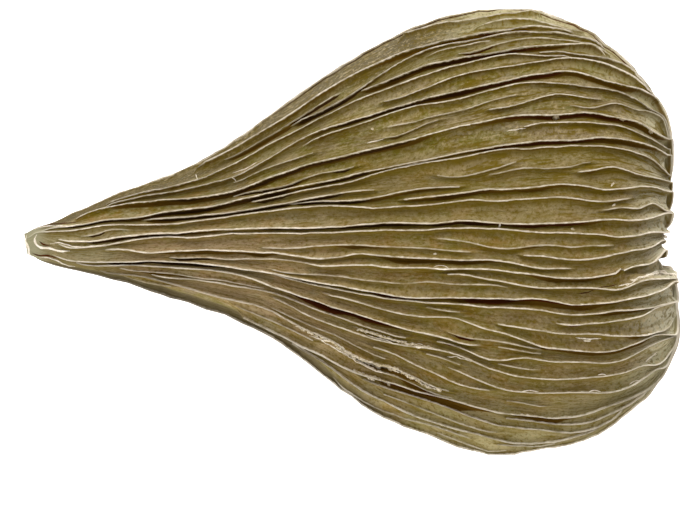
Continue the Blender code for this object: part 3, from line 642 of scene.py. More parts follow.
def belly_calm(points):
    """0 over the flat spot that the pod rests on, 1 away from it."""
    along = (points[..., 0] - REST_X) / FLAT_HALF_LENGTH
    across = (points[..., 1] - REST_Y) / FLAT_HALF_WIDTH
    far = np.hypot(along, across)
    return np.where(points[..., 2] < 0, smooth_step((far - CALM_START) / CALM_SPAN), 1.0)


def rib_directions(table, columns):
    """The way that the ribs stand at every point: outward, but turned up along both edges."""
    after = np.concatenate([table[:, 1:], table[:, -1:]], axis=1)
    before = np.concatenate([table[:, :1], table[:, :-1]], axis=1)
    along = skin_point(after, columns) - skin_point(before, columns)
    across = skin_point(table, columns + SMALL_TURN) - skin_point(table, columns - SMALL_TURN)
    normal = np.cross(across, along)
    normal /= np.linalg.norm(normal, axis=2, keepdims=True)
    lower = smooth_step((columns - TURN_START) / TURN_SPAN) * smooth_step((TURN_END - columns) / TURN_SPAN)
    upper = (smooth_step((columns - UPPER_TURN_START) / TURN_SPAN)
             * smooth_step((UPPER_TURN_END - columns) / TURN_SPAN))
    normal[..., 2] += TURNED_UP * (lower + upper)
    return normal / np.linalg.norm(normal, axis=2, keepdims=True)


def ragged_outline(chance, run_length, columns):
    """Small bumps and bites along the outline seen from above, more of them at the broad end."""
    along = np.repeat(run_length[:, None], 2, axis=1)
    bumps = slow_noise(chance, along, OUTLINE_WAVELENGTH, 2)
    bumps = bumps + OUTLINE_FINE_SHARE * slow_noise(chance, along, OUTLINE_FINE_WAVELENGTH, 2)
    near_edge = smooth_step((np.abs(np.cos(columns)) - OUTLINE_RIM_START) / (1.0 - OUTLINE_RIM_START))
    broad = 0.5 + 0.5 * smooth_step((run_length - OUTLINE_BROAD_START) / OUTLINE_BROAD_SPAN)
    fade = smooth_step(run_length / OUTLINE_BROAD_SPAN)
    side = np.where(np.cos(columns) > 0, bumps[:, :1], bumps[:, 1:])
    return OUTLINE_BUMP * (broad * fade)[:, None] * near_edge * side


def measured_skin(table):
    """Fine steps of angle, the length round every ring up to each, and the length along up to each ring."""
    fine = np.linspace(0.0, 2 * math.pi, FINE_STEPS)
    walk = skin_point(table, np.repeat(fine[None, :], RINGS, axis=0))
    steps = np.linalg.norm(np.diff(walk, axis=1), axis=2)
    length = np.concatenate([np.zeros((RINGS, 1)), np.cumsum(steps, axis=1)], axis=1)
    spine_steps = np.linalg.norm(np.diff(walk.mean(axis=1), axis=0), axis=1)
    return fine, length, np.concatenate([[0.0], np.cumsum(spine_steps)])


def girth_places(angle, fine, length):
    """Angles on every ring as lengths round it."""
    turn = 2 * math.pi
    within = np.stack([np.interp(angle[row] % turn, fine, length[row]) for row in range(RINGS)])
    return within + (angle // turn) * length[:, -1:]


def rib_widths(ribs, girth):
    """Room from each rib to the next one, on every ring."""
    return np.diff(np.concatenate([ribs, ribs[:, :1] + girth[:, None]], axis=1), axis=1)


def mesh_columns(width):
    """The rib that each column of the mesh belongs to, and how far from it the column runs."""
    ranks, offsets = [], []
    for rank in range(width.shape[1]):
        hidden = rank >= len(FACE_RIBS)
        north = BELLY_NORTH_COLUMNS if hidden else NORTH_COLUMNS
        south = BELLY_SOUTH_COLUMNS if hidden else SOUTH_COLUMNS
        offsets.append(gap_offsets(width[:, rank], north, south))
        ranks += [rank] * offsets[-1].shape[1]
    return np.array(ranks), np.concatenate(offsets, axis=1)


def raise_relief(place, fine, length, ribs, height, line, band):
    """The angle of every point of the mesh and its height over the skin, calm at the beak and the pole."""
    girth = length[:, -1]
    share = np.linspace(0.0, 1.0, RINGS)
    columns = np.empty(place.shape)
    lifts = np.empty(place.shape)
    for row in range(RINGS):
        turns = np.floor(place[row] / girth[row])
        columns[row] = np.interp(place[row] % girth[row], length[row], fine) + 2 * math.pi * turns
        calm = min(1.0, girth[row] / FULL_RELIEF_GIRTH) * float(smooth_step((1.0 - share[row]) / POLE_CALM))
        lifts[row] = calm * relief(place[row], girth[row], ribs[row], height[row], line[row], band[row])
    return columns, lifts


def husk_rings():
    """Points of the ribbed husk, ring by ring, and what its paint needs to know at each of them."""
    table = ring_table()
    traced = [np.concatenate(pair, axis=1) for pair in zip(trace_face(table), trace_belly())]
    angle, given, height, line, band, fray = traced
    angle = settle(angle, given)
    count = angle.shape[1]
    fine, length, run_length = measured_skin(table)
    girth = length[:, -1]
    along = np.repeat(run_length[:, None], count, axis=1)

    chance = np.random.default_rng(EDGE_SEED)
    ribs = girth_places(angle, fine, length)
    width = rib_widths(ribs, girth)
    room = np.minimum(width, np.roll(width, 1, axis=1))
    waver = np.minimum(SIDE_WAVER, SIDE_WAVER_SHARE * room)
    ribs = ribs + waver * slow_noise(chance, along, SIDE_WAVELENGTH, count)
    width = rib_widths(ribs, girth)
    ragged = 1.0 + HEIGHT_WAVER * (1 + fray) * slow_noise(chance, along, HEIGHT_WAVELENGTH, count)
    ragged += FRAY_WAVER * fray * slow_noise(chance, along, 0.5 * HEIGHT_WAVELENGTH, count)
    height = height * ragged
    tint = chance.uniform(0.0, 1.0, count)

    ranks, offsets = mesh_columns(width)
    columns, lifts = raise_relief(ribs[:, ranks] + offsets, fine, length, ribs, height, line, band)
    skin = skin_point(table, columns)
    lifts += ragged_outline(chance, run_length, columns)
    lifts *= belly_calm(skin)
    points = skin + rib_directions(table, columns) * lifts[..., None]
    lowest = skin[..., 2].min()
    points[..., 2] = np.maximum(points[..., 2] - lowest - FLAT_DEPTH, 0.0)
    points[..., 0] -= MIDDLE_X
    points[..., 1] -= MIDDLE_Y
    swell = 1.0 + WIDTH_WAVER * slow_noise(chance, along, WIDTH_WAVELENGTH, count)
    facts = {"ranks": ranks, "offsets": offsets, "width": width, "height": height,
             "line": line * swell, "band": band * swell, "fray": fray, "tint": tint, "along": run_length,
             "angle": columns}
    return points, facts


def flow_places(facts, columns_total):
    """A place for the grain that runs along the ribs: round a circle across them, straight along."""
    radius = GRAIN_PER_RIB * len(facts["tint"]) / (2 * math.pi)
    within = facts["offsets"] / np.maximum(facts["width"][:, facts["ranks"]], LEAST_GAP)
    turn = 2 * math.pi * (facts["ranks"][None, :] + within) / len(facts["tint"])
    along = np.repeat(facts["along"][:, None], columns_total, axis=1)
    return np.stack([radius * np.cos(turn), radius * np.sin(turn), along], axis=-1)


def husk_mesh():
    """The husk as one closed mesh, with the facts that its paint reads stored on it."""
    points, facts = husk_rings()
    rings, columns, _ = points.shape
    beak = points[0]
    heart = beak.mean(axis=0)
    rim = heart + (beak - heart) * BEAK_RIM
    floor = heart + (beak - heart) * BEAK_FLOOR
    floor[:, 0] += BEAK_RECESS
    grid = np.concatenate([floor[None], rim[None], points])
    grid = np.clip(grid, np.array(box_low) / MM, np.array(box_high) / MM)
    hubs = np.array([grid[0].mean(axis=0), grid[-1].mean(axis=0)])
    spots = np.concatenate([grid.reshape(-1, 3), hubs]) * MM

    row = np.arange(rings + 1)[:, None]
    column = np.arange(columns)[None, :]
    follow = (column + 1) % columns
    here, ahead = row * columns, (row + 1) * columns
    corners = np.broadcast_arrays(here + column, here + follow, ahead + follow, ahead + column)
    faces = np.stack(corners, axis=-1).reshape(-1, 4).tolist()
    beak_hub, pole_hub = len(spots) - 2, len(spots) - 1
    last_row = (rings + 1) * columns
    for side in range(columns):
        after = (side + 1) % columns
        faces.append([side, beak_hub, after])
        faces.append([last_row + side, last_row + after, pole_hub])
    data = bpy.data.meshes.new("ribbed_husk")
    data.from_pydata(spots.tolist(), [], faces)
    store_facts(data, facts)
    data.shade_smooth()
    return data


def standing_neighbours(facts):
    """For the gap of every rib, the nearest ribs that stand up on both sides and how far off they are."""
    height, width = facts["height"], facts["width"]
    rings, count = height.shape
    stands = height > STANDING_SHARE * SOFT
    stands[~stands.any(axis=1)] = True
    north_rib = np.zeros((rings, count), int)
    south_rib = np.zeros((rings, count), int)
    north_gap = np.zeros((rings, count))
    south_gap = np.zeros((rings, count))
    for row in range(rings):
        for rank in range(count):
            back, far = rank, 0.0
            while not stands[row, back]:
                back = (back - 1) % count
                far += width[row, back]
            north_rib[row, rank], north_gap[row, rank] = back, far
            ahead, far = (rank + 1) % count, width[row, rank]
            while not stands[row, ahead]:
                far += width[row, ahead]
                ahead = (ahead + 1) % count
            south_rib[row, rank], south_gap[row, rank] = ahead, far
    return north_rib, north_gap, south_rib, south_gap


def corner_facts(facts):
    """Left and right values of every face of the grid: how far its two ribs are and what they are like."""
    ranks = facts["ranks"]
    north_rib, north_gap, south_rib, south_gap = standing_neighbours(facts)
    row = np.arange(len(north_rib))[:, None]
    north_of, south_of = north_rib[:, ranks], south_rib[:, ranks]
    last_of_gap = np.append(ranks[1:] != ranks[:-1], True)
    offset = facts["offsets"]
    ahead = np.where(last_of_gap[None, :], facts["width"][:, ranks], np.roll(offset, -1, axis=1))
    height, fray = facts["height"], facts["fray"]
    line, band = facts["line"][row, north_of], facts["band"][row, north_of]

    def from_ribs(place):
        return np.stack([north_gap[:, ranks] + place, south_gap[:, ranks] - place, line], axis=-1)

    marks = np.stack([height[row, north_of], height[row, south_of], facts["tint"][north_of]], axis=-1)
    worn = np.stack([fray[row, north_of], fray[row, south_of], band], axis=-1)
    return {"gap": (from_ribs(offset), from_ribs(ahead)), "ribs": (marks, marks), "worn": (worn, worn)}


def point_facts(facts):
    """Where every point lies in the flow of the ribs, and which way it lies round the pod."""
    angle = facts["angle"]
    round_pod = np.stack([np.cos(angle), np.sin(angle), np.zeros(angle.shape)], axis=-1)
    return {"flow": flow_places(facts, angle.shape[1]), "round": round_pod}


def store_facts(data, facts):
    """Keep on the mesh what its paint reads. The rings of the beak's rim repeat those of the first ring."""

    def store(name, domain, rows):
        layer = data.attributes.new(name, "FLOAT_VECTOR", domain)
        layer.data.foreach_set("vector", np.concatenate(rows).astype(np.float32).ravel())

    for name, sides in corner_facts(facts).items():
        left, right = (np.concatenate([side[:1], side[:1], side]) for side in sides)
        corners = np.stack([left[:-1], right[:-1], right[1:], left[1:]], axis=2)
        fans = np.zeros((corners.shape[1] * CAPS * CORNERS_OF_A_FAN_FACE, 3))
        store(name, "CORNER", [corners.reshape(-1, 3), fans])
    for name, values in point_facts(facts).items():
        points = np.concatenate([values[:1], values[:1], values])
        store(name, "POINT", [points.reshape(-1, 3), np.zeros((CAPS, 3))])


class Value:
    """One output of a shader node. Arithmetic on it adds the nodes that work it out."""

    def __init__(self, paint, socket):
        self.paint = paint
        self.socket = socket

    def join(self, other, operation, swapped=False):
        pair = (other, self) if swapped else (self, other)
        wide = any(isinstance(one, Value) and one.socket.type in ("VECTOR", "RGBA") for one in pair)
        wide = wide or any(isinstance(one, tuple) for one in pair)
        kind = "ShaderNodeVectorMath" if wide else "ShaderNodeMath"
        return self.paint.node(kind, {"operation": operation}, {0: pair[0], 1: pair[1]})

    def __add__(self, other):
        return self.join(other, "ADD")

    def __radd__(self, other):
        return self.join(other, "ADD", True)

    def __sub__(self, other):
        return self.join(other, "SUBTRACT")

    def __rsub__(self, other):
        return self.join(other, "SUBTRACT", True)

    def __mul__(self, other):
        return self.join(other, "MULTIPLY")

    def __rmul__(self, other):
        return self.join(other, "MULTIPLY", True)

    def __truediv__(self, other):
        return self.join(other, "DIVIDE")


class Paint:
    """A material that is built up from nodes."""

    def __init__(self, name):
        self.material = bpy.data.materials.new(name)
        self.material.use_nodes = True
        self.tree = self.material.node_tree
        self.shader = self.tree.nodes["Principled BSDF"]

    def set_socket(self, socket, value):
        """Link a value, or set a number, vector or colour."""
        if isinstance(value, Value):
            self.tree.links.new(value.socket, socket)
        elif socket.type == "VECTOR" and not isinstance(value, tuple):
            socket.default_value = (value, value, value)
        elif socket.type == "RGBA" and len(value) == 3:
            socket.default_value = (*value, 1.0)
        else:
            socket.default_value = value

    def node(self, kind, settings=None, inputs=None, output=0):
        """Add any node: its settings first, then the values or links of its sockets."""
        made = self.tree.nodes.new(kind)
        for name, value in (settings or {}).items():
            setattr(made, name, value)
        for name, value in (inputs or {}).items():
            self.set_socket(made.inputs[name], value)
        return Value(self, made.outputs[output])

    def attribute(self, name):
        return self.node("ShaderNodeAttribute", {"attribute_name": name}, output="Vector")

    def parts(self, vector):
        split = self.tree.nodes.new("ShaderNodeSeparateXYZ")
        self.set_socket(split.inputs[0], vector)
        return [Value(self, socket) for socket in split.outputs]

    def band(self, value, low, high):
        """0 below low, 1 above high, smooth between; the other way round if low is the larger."""
        return self.node("ShaderNodeMapRange", {"interpolation_type": "SMOOTHSTEP"},
                         {"Value": value, "From Min": low, "From Max": high})

    def noise(self, place, scale, detail=2.0, roughness=0.5):
        return self.node("ShaderNodeTexNoise", {"normalize": True},
                         {"Vector": place * scale, "Scale": 1.0, "Detail": detail, "Roughness": roughness})

    def mix(self, share, first, second):
        """A colour between two colours."""
        made = self.tree.nodes.new("ShaderNodeMix")
        made.data_type = "RGBA"
        self.set_socket(made.inputs["Factor"], share)
        self.set_socket(made.inputs[6], first)
        self.set_socket(made.inputs[7], second)
        return Value(self, made.outputs[2])

    def coats(self, skin, *coats):
        """Colours laid over the skin one after another, each with the share of it that shows."""
        for share, coat in coats:
            skin = self.mix(share, skin, coat)
        return skin

    def largest(self, first, second):
        return self.node("ShaderNodeMath", {"operation": "MAXIMUM"}, {0: first, 1: second})

    def feed(self, **sockets):
        for name, value in sockets.items():
            self.set_socket(self.shader.inputs[name.replace("_", " ").title()], value)


def colour(code):
    """A linear colour from a six digit hex code."""
    parts = [int(code[place:place + 2], 16) / 255 for place in (0, 2, 4)]
    return tuple(part / 12.92 if part <= 0.04045 else ((part + 0.055) / 1.055) ** 2.4 for part in parts)


# Colours of the dry skin, from its pale edges to its dark slits, some of them painted light and painted
# shade.
PALE_EDGE = colour("d3c6b0")
LIT_EDGE = colour("e9dfcf")
# Painted light: a brighter edge colour for the lower rim, which the lamps light less.
LIT_RIM_EDGE = colour("ebe1cf")
TAN = colour("a3926c")
KHAKI = colour("897c58")
OLIVE = colour("635a12")
GREEN_OLIVE = colour("646220")
PINK_BROWN = colour("a68768")
RUST = colour("865c22")
SAGE = colour("857f62")
# Painted shade under the ribs; also the dark of the grain and wrinkles and of the middle of the pod.
SHADED = colour("62500c")
# Painted shade: the brown of the dips beside the ribs and of the thin line under their edges.
SHADE_BROWN_DIP = colour("503808")
# Painted shade: the dark of the slits, and of the dark threads at cracks and folds.
SHADE_DARK_SLIT = colour("321e06")
# Painted shade: the red-brown dark of some slits and of the dark threads.
SHADE_RED_SLIT = colour("4c2006")
SPECK = colour("493810")
STUB_GREY = colour("a7a486")
# Pale grey and grey-green of the margins, partly the skin's own colour and partly painted light.
MARGIN_GREY = colour("b4ae96")
MARGIN_GREEN = colour("a8a27c")
# Brown of the upper rim of the narrow half, and painted shade along its lower outline.
RIM_BROWN = colour("524833")
MAUVE = colour("786957")

# How much the skin shines and how rough it is. A bump's height is in metres.
DULL = 0.05
FIBRE_ROUGHNESS = 0.85
HUSK_ROUGHNESS = 0.62
GRAIN_ROUGHNESS = 0.3
BUMP_STRENGTH = 0.6
BUMP_HEIGHT = 0.0003

# Zones of the husk for its paint, each as where it starts to show and where it is full. X runs along
# the pod and Y across it, in millimetres from its middle. ROUND is 1 at the upper edge seen from above
# and -1 at the lower edge. UP is 1 where the skin faces straight up and 0 where it stands upright.
UPPER_Y = (-2.0, 12.0)
STEEP_UP = (0.8, 0.2)
LOWER_HALF_ROUND = (0.1, -0.5)
OFF_THE_FLOOR_UP = (-0.1, 0.2)
LOWER_RIM_ROUND = (-0.7, -0.95)
LOWER_MARGIN_ROUND = (-0.7, -0.9)
LOWER_OUTLINE_ROUND = (-0.965, -0.995)
ABOVE_OUTLINE_ROUND = (-1.0, -0.8)
UPPER_RIM_ROUND = (0.8, 0.9)
UPPER_MARGIN_ROUND = (0.72, 0.95)
STUB_X = (-36.0, -38.0)
OFF_THE_STUB_X = (-36.0, -24.0)
BEAK_X = (-22.0, -32.0)
BELOW_BEAK_TOP_Y = (2.0, 0.0)
ABOVE_BEAK_FOOT_Y = (-5.0, -3.0)
NARROW_X = (-4.0, -16.0)
STEM_HALF_X = (12.0, -6.0)
STEM_MARGIN_X = (6.0, -6.0)
STEM_OUTLINE_X = (10.0, 0.0)
STEM_UPPER_RIM_X = (16.0, 8.0)
BROAD_X = (0.0, 14.0)
BROAD_HALF_X = (10.0, 26.0)
BROAD_END_MARGIN_X = (31.0, 38.0)
PAST_THE_WAIST_X = (-14.0, 4.0)
BEFORE_THE_END_X = (36.0, 29.0)
BELOW_THE_TOP_Y = (13.0, 8.0)
SPECKLED_X = (-20.0, 5.0)
RED_SLITS_X = (5.0, 25.0)
WRINKLED_X = (6.0, 18.0)
WRINKLED_Y = (0.0, 5.0)
LOWER_Y = (3.0, -3.0)
RED_SLITS_Y = (-5.0, -8.5)


def read_husk(paint):
    """What the paint goes by: the facts stored on the mesh, the place, and the zones used most."""
    at = SimpleNamespace()
    at.flow = paint.attribute("flow")
    at.from_north, at.to_south, at.line = paint.parts(paint.attribute("gap"))
    at.north, at.south, at.tint = paint.parts(paint.attribute("ribs"))
    at.fray, at.fray_south, at.band = paint.parts(paint.attribute("worn"))
    at.place = paint.node("ShaderNodeTexCoord", output="Object") * MM_PER_METRE
    at.x, at.y, _ = paint.parts(at.place)
    at.round, at.up, _ = paint.parts(paint.attribute("round"))
    at.upper = paint.band(at.y, *UPPER_Y)
    at.lower_half = paint.band(at.round, *LOWER_HALF_ROUND) * paint.band(at.up, *OFF_THE_FLOOR_UP)
    at.lower_rim = paint.band(at.round, *LOWER_RIM_ROUND)
    at.middle = (paint.band(at.x, *PAST_THE_WAIST_X) * paint.band(at.x, *BEFORE_THE_END_X)
                 * paint.band(at.y, *BELOW_THE_TOP_Y))
    return at


def add_textures(paint, at):
    """Uneven patterns: those on the flow run along the ribs, those on the place do not."""
    at.ragged = paint.noise(at.flow, (3.2, 3.2, 1.6), 3.0, 0.6) - 0.5
    at.frayed = paint.noise(at.flow, (5.0, 5.0, 2.8), 2.0, 0.6) - 0.5
    at.worn = paint.noise(at.flow, (2.2, 2.2, 0.8), 3.0, 0.65)
    at.grain = paint.noise(at.flow, (3.6, 3.6, 2.0), 4.0, 0.7)
    at.blotch = paint.noise(at.flow, (1.1, 1.1, 0.7), 3.0, 0.6)
    at.patches = paint.noise(at.flow, (0.5, 0.5, 0.3), 2.0, 0.6)
    at.wrinkles = paint.noise(at.flow, (2.4, 2.4, 0.3), 3.0, 0.55)
    at.streaks = paint.noise(at.flow, (7.0, 7.0, 0.6), 2.0, 0.6)
    at.specks = paint.noise(at.flow, (4.5, 4.5, 3.5), 1.0, 0.5)
    at.drift = paint.noise(at.place, (0.18, 0.36, 0.18), 3.0, 0.6)
    at.mauve = paint.noise(at.place, (0.12, 0.3, 0.12), 3.0, 0.65)
    at.grey_green = paint.noise(at.place, (0.25, 0.5, 0.25), 2.0, 0.6)


def measure_ribs(paint, at):
    """Ragged distances to the ribs of the gap, drawn in where the skin is seen at a slant from above."""
    steep = paint.band(at.up, *STEEP_UP)
    squash = 1.0 - steep * (at.lower_half * 0.3 + 0.15)
    at.near_north = at.from_north * squash + at.ragged * 0.14 + at.frayed * at.fray * 0.3
    at.near_south = at.to_south * squash + at.ragged * 0.16 + at.frayed * at.fray_south * 0.35


def papery_edges(paint, at):
    """Where the thin pale edges of the ribs show, worn away in places."""
    north_reach = 0.095 + at.lower_rim * 0.01
    south_reach = 0.12 + at.upper * 0.05
    north_edge = paint.band(at.near_north, north_reach, north_reach * 0.5) * paint.band(at.north, 0.0, 0.75)
    south_edge = paint.band(at.near_south, south_reach, 0.05) * paint.band(at.south, 0.0, 0.75)
    left = paint.band(at.worn, 0.34, 0.54) * 0.5 + 0.5
    plain_rim = at.lower_rim * paint.band(at.x, *NARROW_X)
    shown = 1.0 - at.upper * 0.1 - at.middle * 0.22 - plain_rim * 0.6
    return paint.largest(north_edge, south_edge) * left * shown


def dry_face(paint, at):
    """The mottled skin between the ribs: olive and khaki, with rust, green, mauve and pink places, and
    painted light that makes it paler towards the next rib to the south.
    """
    stem_margin = paint.band(at.round, *LOWER_MARGIN_ROUND) * paint.band(at.x, *STEM_MARGIN_X)
    rusty = (1.0 - at.upper * 0.5) * (1.0 - stem_margin * 0.8)
    pink = (paint.band(at.x, *STEM_HALF_X) * paint.band(at.y, *LOWER_Y) * paint.band(at.x, *OFF_THE_STUB_X)
            * paint.band(at.round, *ABOVE_OUTLINE_ROUND))
    beak = (paint.band(at.x, *BEAK_X) * paint.band(at.y, *BELOW_BEAK_TOP_Y)
            * paint.band(at.y, *ABOVE_BEAK_FOOT_Y))
    # Painted light: across each gap the skin gets paler towards the rib to its south, whose north side
    # faces the light.
    rise = paint.band(at.from_north / (at.from_north + at.to_south + 0.001), 0.35, 1.0)
    face = paint.mix(paint.band(at.blotch, 0.4, 0.6), OLIVE, KHAKI)
    return paint.coats(
        face,
        (paint.band(at.patches, 0.5, 0.62) * rusty * 0.6, RUST),
        (paint.band(at.drift, 0.5, 0.62) * rusty * 0.6, RUST),
        (at.upper * 0.35 + paint.band(at.patches, 0.48, 0.36) * 0.6, GREEN_OLIVE),
        (paint.band(at.mauve, 0.48, 0.6) * 0.65, MAUVE),
        (pink * 0.65, PINK_BROWN),
        (paint.band(at.grey_green, 0.54, 0.64) * 0.5, SAGE),
        (beak * 0.7, SAGE),
        (paint.band(at.tint, 0.3, 1.0) * 0.25, TAN),
        # painted light across the gap
        (rise * 0.3, TAN),
        (paint.band(at.wrinkles, 0.5, 0.68) * 0.35, TAN))


def weathered_and_lit_margins(paint, at, face):
    """The greyer, paler skin of the broad end and the margins, and the brown rims of the narrow half; the
    paleness of the margins is partly painted light.
    """
    both_margins = paint.largest(at.lower_rim, paint.band(at.round, *UPPER_MARGIN_ROUND))
    upper_rim = paint.band(at.round, *UPPER_RIM_ROUND) * paint.band(at.x, *STEM_UPPER_RIM_X)
    return paint.coats(
        face,
        (paint.band(at.x, *BROAD_HALF_X) * 0.3, MAUVE),
        # Partly the skin's own grey, partly painted light that brightens the margin of the broad end.
        (paint.band(at.x, *BROAD_END_MARGIN_X) * 0.9, MARGIN_GREY),
        # Partly grey-green skin, partly painted light that brightens the steep margins of the broad half.
        (both_margins * paint.band(at.x, *BROAD_X) * 0.6, MARGIN_GREEN),
        (upper_rim * 0.9, RIM_BROWN))


def fine_texture(paint, at, face):
    """Light and dark grain, fine streaks and specks, the shade of the middle of the pod, and painted shade
    along the lower outline of the narrow half.
    """
    wrinkled = paint.band(at.x, *WRINKLED_X) * paint.band(at.y, *WRINKLED_Y)
    specks = paint.band(at.specks, 0.63, 0.7) * paint.band(at.x, *SPECKLED_X)
    # Painted shade: a dark brown line along the lower outline, where the skin turns under.
    outline = paint.band(at.round, *LOWER_OUTLINE_ROUND) * paint.band(at.x, *STEM_OUTLINE_X)
    return paint.coats(
        face,
        (paint.band(at.grain, 0.51, 0.64) * 0.75, TAN),
        (paint.band(at.grain, 0.49, 0.37) * 0.75, SHADED),
        (paint.band(at.wrinkles, 0.5, 0.38) * (wrinkled * 0.4 + 0.5), SHADED),
        (paint.band(at.streaks, 0.55, 0.72) * 0.4, TAN),
        (specks * 0.5, SPECK),
        (at.middle * 0.34, SHADED),
        # painted shade along the lower outline
        (outline * 0.7, RIM_BROWN))


def between(paint, value, near, far):
    """1 from the end of the near range to the start of the far one, both given as a start and an end."""
    return paint.band(value, *near) * paint.band(value, far[1], far[0])


def shaded_gaps(paint, at, face):
    """What lies south of each rib, all of it painted shade: the shade under its edge, a thin brown contour,
    the brown dips and the dark slits, red-brown in places.
    """
    # Painted shade: darker skin just south of each rib edge, where the rib shades it.
    painted_shade_under_edge = paint.band(at.near_north, 0.9 + at.blotch * 0.6, 0.1) * paint.band(at.north, 0.05, 0.6)
    # Painted shade: a thin brown line just under each rib edge.
    contour = between(paint, at.near_north, (0.08, 0.12), (0.15, 0.24)) * paint.band(at.north, 0.1, 0.7)
    # Painted shade in the dips and slits beside the ribs: brown in the dips, and dark, in places red-brown,
    # in the slits.
    wide_band = at.band * (at.lower_half * 0.7 + 0.8)
    in_shaded_dip = between(paint, at.near_north, (0.08, 0.16), (wide_band + 0.08, wide_band + 0.25))
    wide_line = at.line * (at.lower_half * 0.8 + 0.8)
    in_shaded_slit = between(paint, at.near_north, (0.07, 0.12), (wide_line + 0.07, wide_line + 0.13))
    red_below = paint.band(at.y, *RED_SLITS_Y) * at.lower_half
    red = paint.largest(paint.band(at.x, *RED_SLITS_X) * 0.6, red_below * 0.9)
    return paint.coats(
        face,
        (painted_shade_under_edge * (0.6 + at.middle * 0.2), SHADED),
        (contour * paint.band(at.wrinkles, 0.35, 0.6) * 0.8, SHADE_BROWN_DIP),
        (in_shaded_dip * paint.band(at.band, 0.02, 0.12), SHADE_BROWN_DIP),
        (in_shaded_slit * paint.band(at.line, 0.03, 0.12), paint.mix(red, SHADE_DARK_SLIT, SHADE_RED_SLIT)))


def husk_paint():
    """Dry papery skin, dull and finely wrinkled, with pale edges on its ribs and a grey stub, painted shade
    beside the ribs and along the lower outline, and painted light across each gap, on the margins and on
    the lower rim's edges.
    """
    paint = Paint("dry_ribbed_husk")
    at = read_husk(paint)
    add_textures(paint, at)
    measure_ribs(paint, at)
    face = dry_face(paint, at)
    face = weathered_and_lit_margins(paint, at, face)
    face = fine_texture(paint, at, face)
    face = shaded_gaps(paint, at, face)
    edge_colour = paint.mix(paint.band(at.grain, 0.35, 0.65), PALE_EDGE, LIT_EDGE)
    # Painted light: the edges along the lower rim are paler still.
    edge_colour = paint.mix(at.lower_rim, edge_colour, LIT_RIM_EDGE)
    skin = paint.mix(papery_edges(paint, at), face, edge_colour)
    skin = paint.mix(paint.band(at.x, *STUB_X) * 0.6, skin, STUB_GREY)
    height = at.grain * 1.1 + at.wrinkles * 2.5 + at.streaks * 0.4
    bump = paint.node("ShaderNodeBump", {},
                      {"Strength": BUMP_STRENGTH, "Distance": BUMP_HEIGHT, "Height": height})
    roughness = HUSK_ROUGHNESS + at.grain * GRAIN_ROUGHNESS
    paint.feed(base_color=skin, roughness=roughness, normal=bump)
    paint.shader.inputs["Specular IOR Level"].default_value = DULL
    return paint.material


def fibre_paint(name, dim, bright, speckle):
    """Plain dry fibre, mottled between two colours, with some darker places."""
    paint = Paint(name)
    place = paint.node("ShaderNodeTexCoord", output="Object") * MM_PER_METRE
    mottle = paint.noise(place, (2.5, 2.5, 2.5), 3.0, 0.6)
    specks = paint.noise(place, (5.0, 5.0, 5.0), 1.0, 0.5)
    skin = paint.mix(paint.band(mottle, 0.35, 0.6), dim, bright)
    skin = paint.mix(paint.band(specks, 0.62, 0.7) * speckle, skin, SPECK)
    paint.feed(base_color=skin)
    paint.shader.inputs["Roughness"].default_value = FIBRE_ROUGHNESS
    paint.shader.inputs["Specular IOR Level"].default_value = DULL
    return paint.material


